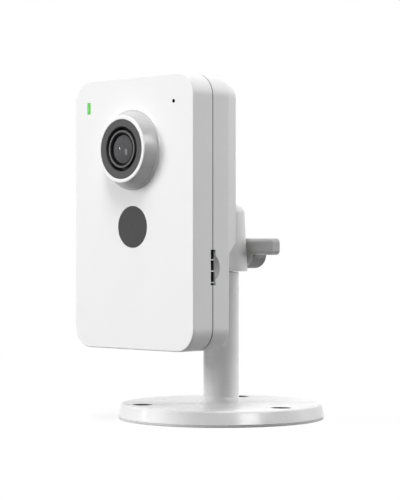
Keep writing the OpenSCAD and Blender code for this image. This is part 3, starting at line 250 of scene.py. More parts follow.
def startGroup(name, inputs):
    group = bpy.data.node_groups.new(name, "ShaderNodeTree")
    for label, value in inputs.items():
        kind = "NodeSocketVector" if isinstance(value, tuple) else "NodeSocketFloat"
        socket = group.interface.new_socket(label, in_out="INPUT", socket_type=kind)
        socket.default_value = value
    for label, kind in (("Mask", "NodeSocketFloat"), ("Roughness", "NodeSocketFloat"),
                        ("Normal", "NodeSocketVector")):
        group.interface.new_socket(label, in_out="OUTPUT", socket_type=kind)
    start, end = group.nodes.new("NodeGroupInput"), group.nodes.new("NodeGroupOutput")
    return group, group.nodes, group.links, start.outputs, end.inputs


def noise(nodes, links, vector, scale, detail=2.0, rough=0.5):
    texture = nodes.new("ShaderNodeTexNoise")
    texture.inputs["Detail"].default_value = detail
    texture.inputs["Roughness"].default_value = rough
    links.new(vector, texture.inputs["Vector"])
    feed(links, scale, texture.inputs["Scale"])
    return texture.outputs["Fac"]


def spread(nodes, links, value, low, high, span=(0.3, 0.7)):
    # The span in which most of a noise lies, laid out between two numbers or outputs
    out = nodes.new("ShaderNodeMapRange")
    links.new(value, out.inputs["Value"])
    for label, end in (("From Min", span[0]), ("From Max", span[1]), ("To Min", low), ("To Max", high)):
        feed(links, end, out.inputs[label])
    return out.outputs["Result"]


def endGroup(nodes, links, start, end, height, mask, gloss):
    # The height makes the bumps, and the gloss moves the roughness within its play
    bump = nodes.new("ShaderNodeBump")
    links.new(height, bump.inputs["Height"])
    links.new(start["Depth"], bump.inputs["Distance"])
    links.new(bump.outputs["Normal"], end["Normal"])
    links.new(mask, end["Mask"])
    dullest = maths(nodes, links, "ADD", start["Roughness"], start["Play"])
    links.new(spread(nodes, links, gloss, start["Roughness"], dullest), end["Roughness"])


def makeMouldedSkin():
    # Fine spark-eroded grain of a mould, with a faint slow change of tone and gloss
    group, nodes, links, start, end = startGroup("mouldedSkin", {
        "Grain": 5200, "Depth": 0.00002, "Mottle": 60, "Roughness": 0.4, "Play": 0.05})
    grainShare = 0.45
    coord = nodes.new("ShaderNodeTexCoord").outputs["Object"]
    grain = noise(nodes, links, coord, start["Grain"], detail=3.0, rough=0.6)
    slow = noise(nodes, links, coord, start["Mottle"])
    both = maths(nodes, links, "ADD", maths(nodes, links, "MULTIPLY", grain, grainShare),
                 maths(nodes, links, "MULTIPLY", slow, 1 - grainShare))
    endGroup(nodes, links, start, end, grain, spread(nodes, links, both, 0, 1), both)
    return group


def makeWorkedMetal():
    # Drawn or turned metal: streaks along one axis, with a few dull patches
    group, nodes, links, start, end = startGroup("workedMetal", {
        "Streaks": 2600, "Draw": (1.0, 0.06, 1.0), "Patches": 240, "Depth": 0.00001,
        "Roughness": 0.25, "Play": 0.15})
    coord = nodes.new("ShaderNodeTexCoord").outputs["Object"]
    drawn = nodes.new("ShaderNodeVectorMath")
    drawn.operation = "MULTIPLY"
    links.new(coord, drawn.inputs[0])
    links.new(start["Draw"], drawn.inputs[1])
    streak = noise(nodes, links, drawn.outputs[0], start["Streaks"])
    dull = noise(nodes, links, coord, start["Patches"], detail=3.0)
    both = maths(nodes, links, "MULTIPLY", maths(nodes, links, "ADD", streak, dull), 0.5)
    endGroup(nodes, links, start, end, streak, spread(nodes, links, both, 0, 1), both)
    return group


def makeBoardTracks():
    # Copper tracks under green lacquer: square cells with lines along their edges
    group, nodes, links, start, end = startGroup("boardTracks", {
        "Cells": 420, "Unevenness": 0.7, "Depth": 0.00003, "Roughness": 0.3, "Play": 0.1})
    cells = nodes.new("ShaderNodeTexVoronoi")
    cells.distance = "CHEBYCHEV"
    links.new(nodes.new("ShaderNodeTexCoord").outputs["Object"], cells.inputs["Vector"])
    links.new(start["Cells"], cells.inputs["Scale"])
    links.new(start["Unevenness"], cells.inputs["Randomness"])
    track = spread(nodes, links, cells.outputs["Distance"], 0, 1, span=(0.42, 0.46))    # the cells' edges
    endGroup(nodes, links, start, end, track, track, track)
    return group


def makeWovenCloth():
    # Two crossing sets of threads
    group, nodes, links, start, end = startGroup("wovenCloth", {
        "Threads": 1500, "Waviness": 0.4, "Depth": 0.00006, "Roughness": 0.8, "Play": 0.0})
    coord = nodes.new("ShaderNodeTexCoord").outputs["Object"]
    sets = []
    for axis in ("X", "Z"):
        wave = nodes.new("ShaderNodeTexWave")
        wave.bands_direction = axis
        links.new(coord, wave.inputs["Vector"])
        links.new(start["Threads"], wave.inputs["Scale"])
        links.new(start["Waviness"], wave.inputs["Distortion"])
        sets.append(wave.outputs["Fac"])
    weave = maths(nodes, links, "MULTIPLY", *sets)
    endGroup(nodes, links, start, end, weave, weave, weave)
    return group


# Each finish: the two colours it plays between, what differs in its effect, constants on the shader.
# Grain, Mottle and the like are counts in a metre, and Depth is in metres
usualPlastic = {"Grain": 5200, "Depth": 0.000006, "Mottle": 60, "Roughness": 0.38, "Play": 0.06}
mouldedFinishes = {
    "housing_white": (0.86, 0.885),
    "joint_shade": (0.34, 0.38),
    "scoop_shade": (0.40, 0.44),
    "shroud_white": (0.87, 0.89, {"Depth": 0.000003, "Roughness": 0.26}, {"Coat Weight": 0.15}),
    # painted shade: the shroud is white, and its side is painted this darker grey
    "shroud_side": (0.49, 0.52, {"Depth": 0.000003, "Roughness": 0.3},
                    {"Coat Weight": 0.5, "Coat Roughness": 0.1}),
    "bezel_grey": (0.048, 0.058, {"Grain": 4200, "Depth": 0.00001, "Roughness": 0.45}),
    "lens_metal": (0.085, 0.10, {"Grain": 3000, "Roughness": 0.3}, {"Metallic": 0.3}),
    "lens_black": (0.002, 0.004, {"Depth": 0.0, "Roughness": 0.6}, {"Specular IOR Level": 0.1}),
    # dark glass, painted a lighter grey as painted reflection in place of the sheen it gives back
    "lens_glass": ((0.072, 0.073, 0.077), (0.100, 0.100, 0.103),
                   {"Grain": 200, "Depth": 0.0, "Roughness": 0.03, "Play": 0.02},
                   {"Specular IOR Level": 0.15}),
    "filter_glass": ((0.10, 0.32, 0.34), (0.12, 0.36, 0.38),
                     {"Depth": 0.0, "Roughness": 0.05, "Play": 0.02}, {"Transmission Weight": 0.8}),
    "smoked_window": (0.024, 0.03, {"Grain": 300, "Depth": 0.0, "Roughness": 0.08, "Play": 0.03},
                      {"Coat Weight": 0.2, "Coat Roughness": 0.03}),
    "green_light": ((0.05, 0.42, 0.02), (0.065, 0.48, 0.028), {"Depth": 0.0, "Roughness": 0.2},
                    {"Emission Color": (0.07, 0.7, 0.025, 1), "Emission Strength": 0.18}),
    "clear_dome": ((0.55, 0.58, 0.66), (0.62, 0.65, 0.72),
                   {"Depth": 0.0, "Roughness": 0.06, "Play": 0.02}, {"Transmission Weight": 0.7}),
    "stand_white": (0.82, 0.845, {"Depth": 0.000003, "Roughness": 0.24},
                    {"Coat Weight": 0.25, "Coat Roughness": 0.2}),
    # painted shade inside the foot's counterbores
    "hole_lining": (0.11, 0.13),
    "knob_grey": (0.38, 0.42, {"Grain": 3600, "Depth": 0.00001, "Roughness": 0.3},
                  {"Coat Weight": 0.5, "Coat Roughness": 0.25}),
    # painted shade on the knob's hub and under its wings
    "knob_grip": (0.20, 0.25, {"Grain": 2600, "Depth": 0.00003, "Roughness": 0.5}),
    "black_plastic": (0.010, 0.016, {"Grain": 3800, "Depth": 0.00001, "Roughness": 0.5}),
    "chip_black": (0.015, 0.03, {"Grain": 7000, "Depth": 0.00001, "Roughness": 0.55}),
    "acetal": ((0.74, 0.72, 0.66), (0.78, 0.76, 0.70)),
    "pad_blue": ((0.22, 0.38, 0.52), (0.28, 0.44, 0.58),
                 {"Grain": 1500, "Depth": 0.00004, "Roughness": 0.7}),
    "rubber_black": (0.022, 0.034, {"Grain": 2400, "Depth": 0.00003, "Roughness": 0.75}),
    # grey rubber, painted paler than it is as painted light, since the lip lies in shade under the rim
    "rubber_grey": (0.76, 0.80, {"Grain": 2400, "Depth": 0.00003, "Roughness": 0.7}),
}
metalFinishes = {
    "steel": (0.50, 0.62, {"Roughness": 0.22}),
    "weight_steel": (0.28, 0.4, {"Roughness": 0.4}),
    "tin_shield": (0.55, 0.66, {"Roughness": 0.28, "Draw": (1.0, 1.0, 0.08)}),
    "zinc_ball": (0.46, 0.56, {"Roughness": 0.3, "Draw": (0.2, 1.0, 0.2)}),
    "aluminium": (0.62, 0.74, {"Roughness": 0.3}),
    "mirror_metal": (0.72, 0.80, {"Roughness": 0.06, "Play": 0.05, "Depth": 0.000002}),
    "brass": ((0.46, 0.42, 0.33), (0.56, 0.52, 0.41), {"Roughness": 0.25}),
    "copper": ((0.66, 0.30, 0.16), (0.78, 0.38, 0.22), {"Streaks": 5200, "Draw": (1.0, 0.02, 0.02)}),
    "gold_film": ((0.62, 0.38, 0.09), (0.72, 0.46, 0.13), {"Roughness": 0.3}, {"Metallic": 0.6}),
}
boardFinishes = {"board_green": ((0.012, 0.10, 0.04), (0.03, 0.20, 0.075))}
clothFinishes = {"speaker_cloth": (0.015, 0.08)}


def finishOf(slot, effect, low, high, values, fixed):
    # The effect's mask lays the colour between low and high
    first, *rest = slot.split("_")
    material = bpy.data.materials.new(first + "".join(word.capitalize() for word in rest))
    material.use_nodes = True
    nodes, links = material.node_tree.nodes, material.node_tree.links
    shader = nodes["Principled BSDF"]
    work = nodes.new("ShaderNodeGroup")
    work.node_tree = effect
    for label, value in values.items():
        work.inputs[label].default_value = value
    blend = nodes.new("ShaderNodeMix")
    blend.data_type = "RGBA"
    blend.inputs["A"].default_value = colourOf(low)
    blend.inputs["B"].default_value = colourOf(high)
    links.new(work.outputs["Mask"], blend.inputs["Factor"])
    links.new(blend.outputs["Result"], shader.inputs["Base Color"])
    links.new(work.outputs["Roughness"], shader.inputs["Roughness"])
    links.new(work.outputs["Normal"], shader.inputs["Normal"])
    for label, value in fixed.items():
        shader.inputs[label].default_value = value
    return material


finishes = {}
for effect, usual, usualFixed, table in (
        (makeMouldedSkin(), usualPlastic, {}, mouldedFinishes),
        (makeWorkedMetal(), {}, {"Metallic": 1.0}, metalFinishes),
        (makeBoardTracks(), {}, {}, boardFinishes),
        (makeWovenCloth(), {}, {}, clothFinishes)):
    for slotName, (low, high, *more) in table.items():
        changes, fixed = (*more, {}, {})[:2]
        finishes[slotName] = finishOf(slotName, effect, low, high, {**usual, **changes},
                                      {**usualFixed, **fixed})
print("materials made:", len(finishes))


makingSet = {
    "merge": 1e-6,         # metres
    "flat": 0.4,           # degrees: flatter edges are dissolved
    "sharp": 20,           # degrees: only sharper edges are rounded
    "smooth": 32,          # degrees: up to here the shading is smooth
    "evenness": 80,        # how far the big faces rule the shading of the roundings
}


def shade(mesh):
    for face in mesh.polygons:
        face.use_smooth = True
    mesh.set_sharp_from_angle(angle=math.radians(makingSet["smooth"]))


def meshFrom(work, name):
    mesh = bpy.data.meshes.new(name)
    work.to_mesh(mesh)
    work.free()
    shade(mesh)
    return mesh


def addPiece(name, mesh, body, slot, stands=(), paints=()):
    piece = bpy.data.objects.new(name, mesh)
    scene.collection.objects.link(piece)
    for label in (slot, *paints):
        mesh.materials.append(finishes[label])
    weigh = piece.modifiers.new("evenShading", "WEIGHTED_NORMAL")
    weigh.keep_sharp = True
    weigh.weight = makingSet["evenness"]
    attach(piece, body)
    if stands:
        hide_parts(*stands)


def filleted(corners, closed, steps):
    # A section's corners (across, along, radius of rounding) as a run of points
    points = []
    for i, (across, along, *edge) in enumerate(corners):
        here = Vector((across, along))
        if not edge or (not closed and i in (0, len(corners) - 1)):
            points.append(here)
            continue
        before = (Vector(corners[i - 1][:2]) - here).normalized()
        after = (Vector(corners[(i + 1) % len(corners)][:2]) - here).normalized()
        half = before.angle(after) / 2
        centre = here + (before + after).normalized() * (edge[0] / math.sin(half))
        first = here + before * (edge[0] / math.tan(half)) - centre
        last = here + after * (edge[0] / math.tan(half)) - centre
        sweep = math.atan2(first.x * last.y - first.y * last.x, first.dot(last))
        for k in range(steps + 1):
            turn = sweep * k / steps
            points.append(centre + Vector((first.x * math.cos(turn) - first.y * math.sin(turn),
                                           first.x * math.sin(turn) + first.y * math.cos(turn))))
    return points


def turnedMesh(name, corners, centre, closed=True, segments=96, steps=5, paints=()):
    # A section turned round an axis along Y: across in mm from the axis, along in mm behind the face
    work = bmesh.new()
    turns = [2 * math.pi * k / segments for k in range(segments)]
    rings = []
    for point in filleted(corners, closed, steps):
        y = faceY + point.y * mm
        if point.x < 1e-6:      # on the axis the ring is one point
            rings.append([work.verts.new((centre.x, y, centre.z))])
            continue
        rings.append([work.verts.new((centre.x + point.x * mm * math.cos(turn), y,
                                      centre.z + point.x * mm * math.sin(turn))) for turn in turns])
    for i in range(len(rings) if closed else len(rings) - 1):
        a, b = rings[i], rings[(i + 1) % len(rings)]
        for k in range(segments):
            n = (k + 1) % segments
            loop = [a[k % len(a)], a[n % len(a)], b[n % len(b)], b[k % len(b)]]
            loop = [v for j, v in enumerate(loop) if v not in loop[:j]]
            if len(loop) > 2:
                work.faces.new(loop)
    bmesh.ops.recalc_face_normals(work, faces=work.faces)
    for face in work.faces:
        spot = (face.calc_center_median() - centre) / mm
        for i, pick in enumerate(paints):
            if pick(math.hypot(spot.x, spot.z), spot.y + (centre.y - faceY) / mm):
                face.material_index = i + 1
    return meshFrom(work, name)


def softenedMesh(name, node, roundings, paints=()):
    # A copy of a CAD node with its chosen edges rounded. Each rounding is (which points, mm, steps),
    # and a profile of 0 at its end makes a square step in place of a rounding
    work = bmesh.new()
    work.from_mesh(frame["nodes"][node].data)
    bmesh.ops.remove_doubles(work, verts=work.verts, dist=makingSet["merge"])
    bmesh.ops.dissolve_limit(work, angle_limit=math.radians(makingSet["flat"]), verts=work.verts,
                             edges=work.edges)
    for pick, radius, steps, *profile in roundings:
        chosen = [e for e in work.edges if len(e.link_faces) == 2
                  and e.calc_face_angle(0) > math.radians(makingSet["sharp"])
                  and pick(e.verts[0].co / mm) and pick(e.verts[1].co / mm)]
        if not chosen:
            print("no edges to round on", name)
            continue
        bmesh.ops.bevel(work, geom=chosen, offset=radius * mm, offset_type="OFFSET", segments=steps,
                        profile=profile[0] if profile else 0.5, affect="EDGES", clamp_overlap=True,
                        loop_slide=False)
    for face in work.faces:
        spot = face.calc_center_median() / mm
        for i, pick in enumerate(paints):
            if pick(spot):
                face.material_index = i + 1
    return meshFrom(work, name)


def startTree(name, inputs):
    tree = bpy.data.node_groups.new(name, "GeometryNodeTree")
    tree.interface.new_socket("Geometry", in_out="OUTPUT", socket_type="NodeSocketGeometry")
    for label, kind in inputs:
        tree.interface.new_socket(label, in_out="INPUT", socket_type=kind)
    start, end = tree.nodes.new("NodeGroupInput"), tree.nodes.new("NodeGroupOutput")
    return tree, tree.nodes, tree.links, start.outputs, end.inputs


def endTree(nodes, links, geometry, given, end):
    # Every tree ends in real geometry with its material on it
    real = nodes.new("GeometryNodeRealizeInstances")
    paint = nodes.new("GeometryNodeSetMaterial")
    links.new(geometry, real.inputs["Geometry"])
    links.new(real.outputs["Geometry"], paint.inputs["Geometry"])
    links.new(given["Finish"], paint.inputs["Material"])
    links.new(paint.outputs["Geometry"], end["Geometry"])


def grownMesh(name, tree, values):
    # The mesh that a tree makes with these values
    seed = bpy.data.objects.new(name + "Seed", bpy.data.meshes.new(name + "Seed"))
    scene.collection.objects.link(seed)
    grow = seed.modifiers.new("grow", "NODES")
    grow.node_group = tree
    for socket in tree.interface.items_tree:
        if socket.in_out == "INPUT" and socket.name in values:
            grow[socket.identifier] = values[socket.name]
    grown = seed.evaluated_get(bpy.context.evaluated_depsgraph_get())
    mesh = bpy.data.meshes.new_from_object(grown)
    mesh.name = name
    bpy.data.objects.remove(seed)
    shade(mesh)
    return mesh


def evenRow(nodes, links, given, shape):
    # The shape on the points of a straight row
    row = nodes.new("GeometryNodeMeshLine")
    links.new(given["Count"], row.inputs["Count"])
    links.new(given["First"], row.inputs["Start Location"])
    links.new(given["Step"], row.inputs["Offset"])
    place = nodes.new("GeometryNodeInstanceOnPoints")
    links.new(row.outputs["Mesh"], place.inputs["Points"])
    links.new(shape, place.inputs["Instance"])
    return place.outputs["Instances"]


def swept(nodes, links, path, section):
    sweep = nodes.new("GeometryNodeCurveToMesh")
    sweep.inputs["Fill Caps"].default_value = True
    links.new(path, sweep.inputs["Curve"])
    links.new(section, sweep.inputs["Profile Curve"])
    return sweep.outputs["Mesh"]


rowInputs = [("Count", "NodeSocketInt"), ("First", "NodeSocketVector"), ("Step", "NodeSocketVector"),
             ("Finish", "NodeSocketMaterial")]


def makeRibTree():
    # Flat ribs in a row, each a plate of the given size with its long edges rounded off
    tree, nodes, links, given, end = startTree("ribRow", rowInputs + [
        ("Rib size", "NodeSocketVector"), ("Roundness", "NodeSocketFloat")])
    size = nodes.new("ShaderNodeSeparateXYZ")
    links.new(given["Rib size"], size.inputs[0])
    section = nodes.new("GeometryNodeCurvePrimitiveQuadrilateral")
    links.new(size.outputs["X"], section.inputs["Width"])
    links.new(size.outputs["Z"], section.inputs["Height"])
    soften = nodes.new("GeometryNodeFilletCurve")
    soften.mode = "POLY"
    soften.inputs["Count"].default_value = 4
    links.new(section.outputs["Curve"], soften.inputs["Curve"])
    links.new(given["Roundness"], soften.inputs["Radius"])
    reach = nodes.new("ShaderNodeCombineXYZ")
    links.new(size.outputs["Y"], reach.inputs["Y"])
    path = nodes.new("GeometryNodeCurvePrimitiveLine")
    links.new(reach.outputs[0], path.inputs["End"])
    rib = swept(nodes, links, path.outputs["Curve"], soften.outputs["Curve"])
    endTree(nodes, links, evenRow(nodes, links, given, rib), given, end)
    return tree


def makeContactTree():
    # Bent wires side by side, each a flat strip swept along a curve
    tree, nodes, links, given, end = startTree("contactRow", rowInputs + [
        ("Bend", "NodeSocketVector"), ("End", "NodeSocketVector"),
        ("Width", "NodeSocketFloat"), ("Thickness", "NodeSocketFloat")])
    curve = nodes.new("GeometryNodeCurveQuadraticBezier")
    curve.inputs["Resolution"].default_value = 8
    curve.inputs["Start"].default_value = (0, 0, 0)
    links.new(given["Bend"], curve.inputs["Middle"])
    links.new(given["End"], curve.inputs["End"])
    section = nodes.new("GeometryNodeCurvePrimitiveQuadrilateral")
    links.new(given["Width"], section.inputs["Width"])
    links.new(given["Thickness"], section.inputs["Height"])
    wire = swept(nodes, links, curve.outputs["Curve"], section.outputs["Curve"])
    endTree(nodes, links, evenRow(nodes, links, given, wire), given, end)
    return tree


# Where a point lies, in mm. The play is how near a plane, an arc or a block's edge still counts as on it
play = {"plane": 0.03, "ring": 0.06, "block": 0.05}


def close(a, b, within=play["plane"]):
    return abs(a - b) < within


def depth(p):
    return p.y - faceMm


def fromAxis(p, place):
    # From a line along Y through the place
    return math.hypot(p.x - place.x / mm, p.z - place.z / mm)


def fromPole(p):
    return math.hypot(p.x, p.y)


def onRing(place, radius, at):
    return lambda p: close(fromAxis(p, place), radius, play["ring"]) and close(depth(p), at)


def inBlock(place, size, at):
    x, z = place.x / mm, place.z / mm
    wide, tall = size[0] / 2 + play["block"], size[1] / 2 + play["block"]
    return lambda p: abs(p.x - x) < wide and abs(p.z - z) < tall and close(depth(p), at)


print("tools ready")


shellLook = {
    "joint": 10.5,         # mm from the face to the joint between the two shells
    "corner": 9,           # radius of the outline's corners
}


def outerRim(at):
    # Points on the housing's own outline at a depth behind the face
    half = (coverHigh - coverLow) / 2 / mm
    mid = coverMid / mm
    corner = shellLook["corner"]

    def pick(p):
        if not close(depth(p), at):
            return False
        x, z = abs(p.x - mid.x), abs(p.z - mid.z)
        if x > half.x - corner and z > half.z - corner:
            return close(math.hypot(x - half.x + corner, z - half.z + corner), corner, play["ring"])
        return close(x, half.x) or close(z, half.z)
    return pick


frontLook = {
    # Holes in mm, and how far each edge is rounded
    "edge": 0.5,
    "seam": 0.12,
    "windowRadius": 8.3,
    "windowRim": 0.12,
    "lightSlot": (2, 4.8),
    "lightRim": 0.1,
    "micRadius": 0.75,
    "micRim": 0.1,
    "micShade": (0.78, 0.12),    # within this radius and below this depth the hole is black
}


def makeFrontCover(look):
    shadeRadius, shadeDepth = look["micShade"]
    mesh = softenedMesh("frontShell", "front_cover", [
        (outerRim(0), look["edge"], 4),
        (outerRim(shellLook["joint"]), look["seam"], 1),
        (onRing(windowMid, look["windowRadius"], 0), look["windowRim"], 2),
        (inBlock(ledMid, look["lightSlot"], 0), look["lightRim"], 2),
        (onRing(micMid, look["micRadius"], 0), look["micRim"], 2)],
        paints=[lambda p: fromAxis(p, micMid) < shadeRadius and depth(p) > shadeDepth])
    addPiece("frontShell", mesh, "camera", "housing_white", ["front_cover"], ["black_plastic"])


rearLook = {
    "reveal": 0.5,         # the square step that leaves a fine dark joint line between the shells
    "revealShade": (-0.1, 0.52),    # what is dark there, from the joint
    "wall": 20,            # mm from the face to the wall with the sockets
    "wallEdge": 0.7,
    "back": 27.2,          # mm from the face to the raised back
    "backEdge": 1.1,
    "backSide": 25,        # the raised back's outline lies beyond this,
    "backTop": 128,        # above this,
    "rampTop": 6,          # or below this, measured up from the ball
    "holeRim": 0.2,
    "networkHole": (16.6, 14.1),
    "powerHole": (9.6, 9.6),
    "resetRadius": 1.6,
    # The card slot's rear wall and the finger scoop behind it, which are darker
    "scoopIn": (0.03, 1.3),
    "scoopDepth": (11, 14.8),
    "scoopHalf": 7,
}


def makeRearCover(look):
    wall, joint = look["wall"], shellLook["joint"]
    ball = knobMid.z / mm

    def backRim(p):
        beyond = abs(p.x) > look["backSide"] or p.z > look["backTop"] or p.z < ball + look["rampTop"]
        return close(depth(p), look["back"]) and beyond

    def inJoint(p):
        nearest, farthest = look["revealShade"]
        return nearest < depth(p) - joint < farthest

    def inScoop(p):
        nearest, farthest = look["scoopIn"]
        front, rear = look["scoopDepth"]
        return (nearest < coverHigh.x / mm - p.x < farthest and front < depth(p) < rear
                and abs(p.z - socketMid.z / mm) < look["scoopHalf"])

    mesh = softenedMesh("rearShell", "rear_cover", [
        (outerRim(joint), look["reveal"], 2, 0),
        (outerRim(wall), look["wallEdge"], 3),
        (backRim, look["backEdge"], 4),
        (inBlock(jackMid, look["networkHole"], wall), look["holeRim"], 2),
        (inBlock(powerMid, look["powerHole"], wall), look["holeRim"], 2),
        (onRing(resetMid, look["resetRadius"], wall), look["holeRim"], 2)],
        paints=[inJoint, inScoop])
    addPiece("rearShell", mesh, "camera", "housing_white", ["rear_cover"], ["joint_shade", "scoop_shade"])


makeFrontCover(frontLook)
makeRearCover(rearLook)
print("housing made")


slotLook = {
    "width": 2.6,          # mm, across the slot
    "sunk": 1.0,           # how far the mouth lies below the wall's surface
    "thick": 1.5,
    "fit": 0.05,
    "rim": 0.12,
    "slit": (1.1, 11.6),
    "slitPlace": 1.35,     # middle of the slit, behind the slot's front edge
    "ribs": 3,
    "ribStep": 4.4,
    "ribWidth": 0.42,
    "ribHeight": 0.8,
    "ribEdge": 0.1,
    "ribLow": -5.85,       # lowest rib, from the slot's middle
}


def makeCardMouth(look):
    # A black mouth in the slot that leads the card into its socket
    low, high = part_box("card_socket")
    front = (low.y - faceY) / mm
    outside = coverHigh.x / mm - look["sunk"]
    inside = outside - look["thick"]
    z = socketMid.z / mm
    tall = (high.z - low.z) / mm / 2 - look["fit"]
    y0, y1 = front + look["fit"], front + look["width"] - look["fit"]
    slitWide, slitTall = look["slit"]
    s0, s1 = front + look["slitPlace"] - slitWide / 2, front + look["slitPlace"] + slitWide / 2
    work = bmesh.new()
    loops = []
    for x in (inside, outside):
        for a, b, c, d in ((y0, y1, -tall, tall), (s0, s1, -slitTall / 2, slitTall / 2)):
            loops.append([work.verts.new((x * mm, faceY + y * mm, (z + h) * mm))
                          for y, h in ((a, c), (b, c), (b, d), (a, d))])
    innerOut, innerSlit, outerOut, outerSlit = loops
    for k in range(4):
        n = (k + 1) % 4
        for one, other in ((innerOut, innerSlit), (outerOut, outerSlit), (innerOut, outerOut),
                           (innerSlit, outerSlit)):
            work.faces.new([one[k], one[n], other[n], other[k]])
    bmesh.ops.recalc_face_normals(work, faces=work.faces)
    rims = [e for e in work.edges if all(close(v.co.x / mm, outside) for v in e.verts)
            and e.calc_face_angle(0) > math.radians(makingSet["sharp"])]
    bmesh.ops.bevel(work, geom=rims, offset=look["rim"] * mm, offset_type="OFFSET", segments=2,
                    profile=0.5, affect="EDGES", clamp_overlap=True)
    for face in work.faces:
        face.material_index = 1      # black all over
    addPiece("cardMouth", meshFrom(work, "cardMouth"), "camera", "black_plastic", (), ["lens_black"])
    ribs = grownMesh("cardRibs", makeRibTree(), {
        "Count": look["ribs"],
        "First": (outside * mm, faceY + (front + look["fit"]) * mm, (z + look["ribLow"]) * mm),
        "Step": (0, 0, look["ribStep"] * mm),
        "Rib size": (look["ribHeight"] * mm, (look["width"] - 2 * look["fit"]) * mm, look["ribWidth"] * mm),
        "Roundness": look["ribEdge"] * mm,
        "Finish": finishes["housing_white"]})
    addPiece("cardRibs", ribs, "camera", "housing_white")


makeCardMouth(slotLook)
print("card slot made")


jackLook = {
    "rim": 0.18,           # mm
    "opening": (11.8, 8.0),
    "latchTall": 2.0,
    "fit": 0.02,
    "shadeDepth": 0.25,    # the opening is black from this far in
    "contacts": 8,
    "pitch": 1.02,
    "wire": (0.42, 0.2),
    "roofGap": 0.12,
    "rootDepth": 18.4,     # where the contacts leave the roof, behind the face
    "tipDepth": 10.8,
    "drop": 2.9,
    "bend": (1.6, 0.5),    # inwards and down from the root
}


def makeNetworkJack(look):
    x, z = jackMid.x / mm, jackMid.z / mm
    back = depth(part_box("ethernet_jack")[1] / mm)
    wide, tall = look["opening"]

    def inOpening(p):
        return (abs(p.x - x) < wide / 2 + look["fit"]
                and -tall / 2 - look["latchTall"] - look["fit"] < p.z - z < tall / 2 + look["fit"]
                and depth(p) < back - look["shadeDepth"])

    mesh = softenedMesh("networkJack", "ethernet_jack", [
        (lambda p: close(depth(p), back), look["rim"], 2)], paints=[inOpening])
    addPiece("networkJack", mesh, "camera", "tin_shield", ["ethernet_jack"], ["black_plastic"])
    first = x - look["pitch"] * (look["contacts"] - 1) / 2
    bendIn, bendDown = look["bend"]
    wireWide, wireThick = look["wire"]
    contacts = grownMesh("networkContacts", makeContactTree(), {
        "Count": look["contacts"],
        "First": (first * mm, faceY + look["rootDepth"] * mm, (z + tall / 2 - look["roofGap"]) * mm),
        "Step": (look["pitch"] * mm, 0, 0),
        "Bend": (0, -bendIn * mm, -bendDown * mm),
        "End": (0, (look["tipDepth"] - look["rootDepth"]) * mm, -look["drop"] * mm),
        "Width": wireWide * mm,
        "Thickness": wireThick * mm,
        "Finish": finishes["gold_film"]})
    addPiece("networkContacts", contacts, "camera", "gold_film")


powerLook = {
    "rim": 0.2,                # mm
    "pinSide": (0.8, 1.05),    # the steel pin's side lies between these radii
    "pinEnd": 0.2,             # and its end within this one
}


def makePowerJack(look):
    back = depth(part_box("power_jack")[1] / mm)
    inner, outer = look["pinSide"]
    points = [v.co / mm for v in frame["nodes"]["power_jack"].data.vertices]
    tip = max(depth(p) for p in points if fromAxis(p, powerMid) < outer)

    def onPin(p):
        across = fromAxis(p, powerMid)
        return inner < across < outer or (across < look["pinEnd"] and close(depth(p), tip))

    mesh = softenedMesh("powerJack", "power_jack", [
        (lambda p: close(depth(p), back), look["rim"], 2)], paints=[onPin])
    addPiece("powerJack", mesh, "camera", "black_plastic", ["power_jack"], ["steel"])


resetLook = {"edge": 0.3}


def makeResetButton(look):
    back = depth(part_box("reset_button")[1] / mm)
    mesh = softenedMesh("resetButton", "reset_button", [(lambda p: close(depth(p), back), look["edge"], 3)])
    addPiece("resetButton", mesh, "reset", "black_plastic", ["reset_button"])


makeNetworkJack(jackLook)
makePowerJack(powerLook)
makeResetButton(resetLook)
print("sockets made")


lensLook = {
    # Sections in mm: across from the axis, along behind the face, radius of rounding
    "shroud": [(10.8, 2.0), (10.8, -4.9), (11.8, -4.9), (11.8, -6.2, 0.08), (13.2, -6.2, 0.4),
               (15.1, -0.9, 0.4), (15.9, -0.8, 0.3), (15.9, 0.0), (13.0, 0.0), (13.0, 2.0, 0.3)],
    "bezel": [(11.78, -6.08, 0.06), (11.78, -4.9), (9.6, -4.9), (9.6, -0.8), (6.1, -0.8), (6.1, -1.6),
              (8.8, -1.6, 0.3), (8.8, -6.08, 0.25)],
    "barrel": [(7.4, -5.9, 0.12), (7.4, -1.7, 0.2), (6.0, -1.7), (6.0, 7.7, 0.2), (3.6, 7.7), (3.6, 6.2),
               (2.85, 6.2), (2.85, -2.9), (5.92, -2.9), (5.92, -4.9), (6.62, -4.9), (6.62, -5.9, 0.1)],
    "ring": [(6.6, -5.6), (6.6, -5.02), (5.88, -5.02), (5.92, -5.6, 0.06)],
    "glass": [(0, -5.6), (1.5, -5.556), (3.0, -5.425), (4.5, -5.2), (5.6, -4.99), (5.9, -4.92), (5.9, -2.9),
              (0, -2.9)],
    "cone": (13.1, -5.95, -0.4),    # the shroud's side, painted darker grey as painted shade: outside this radius, between these depths
    "clearRadius": 5.61,            # outside this the rim of the glass is blackened
}


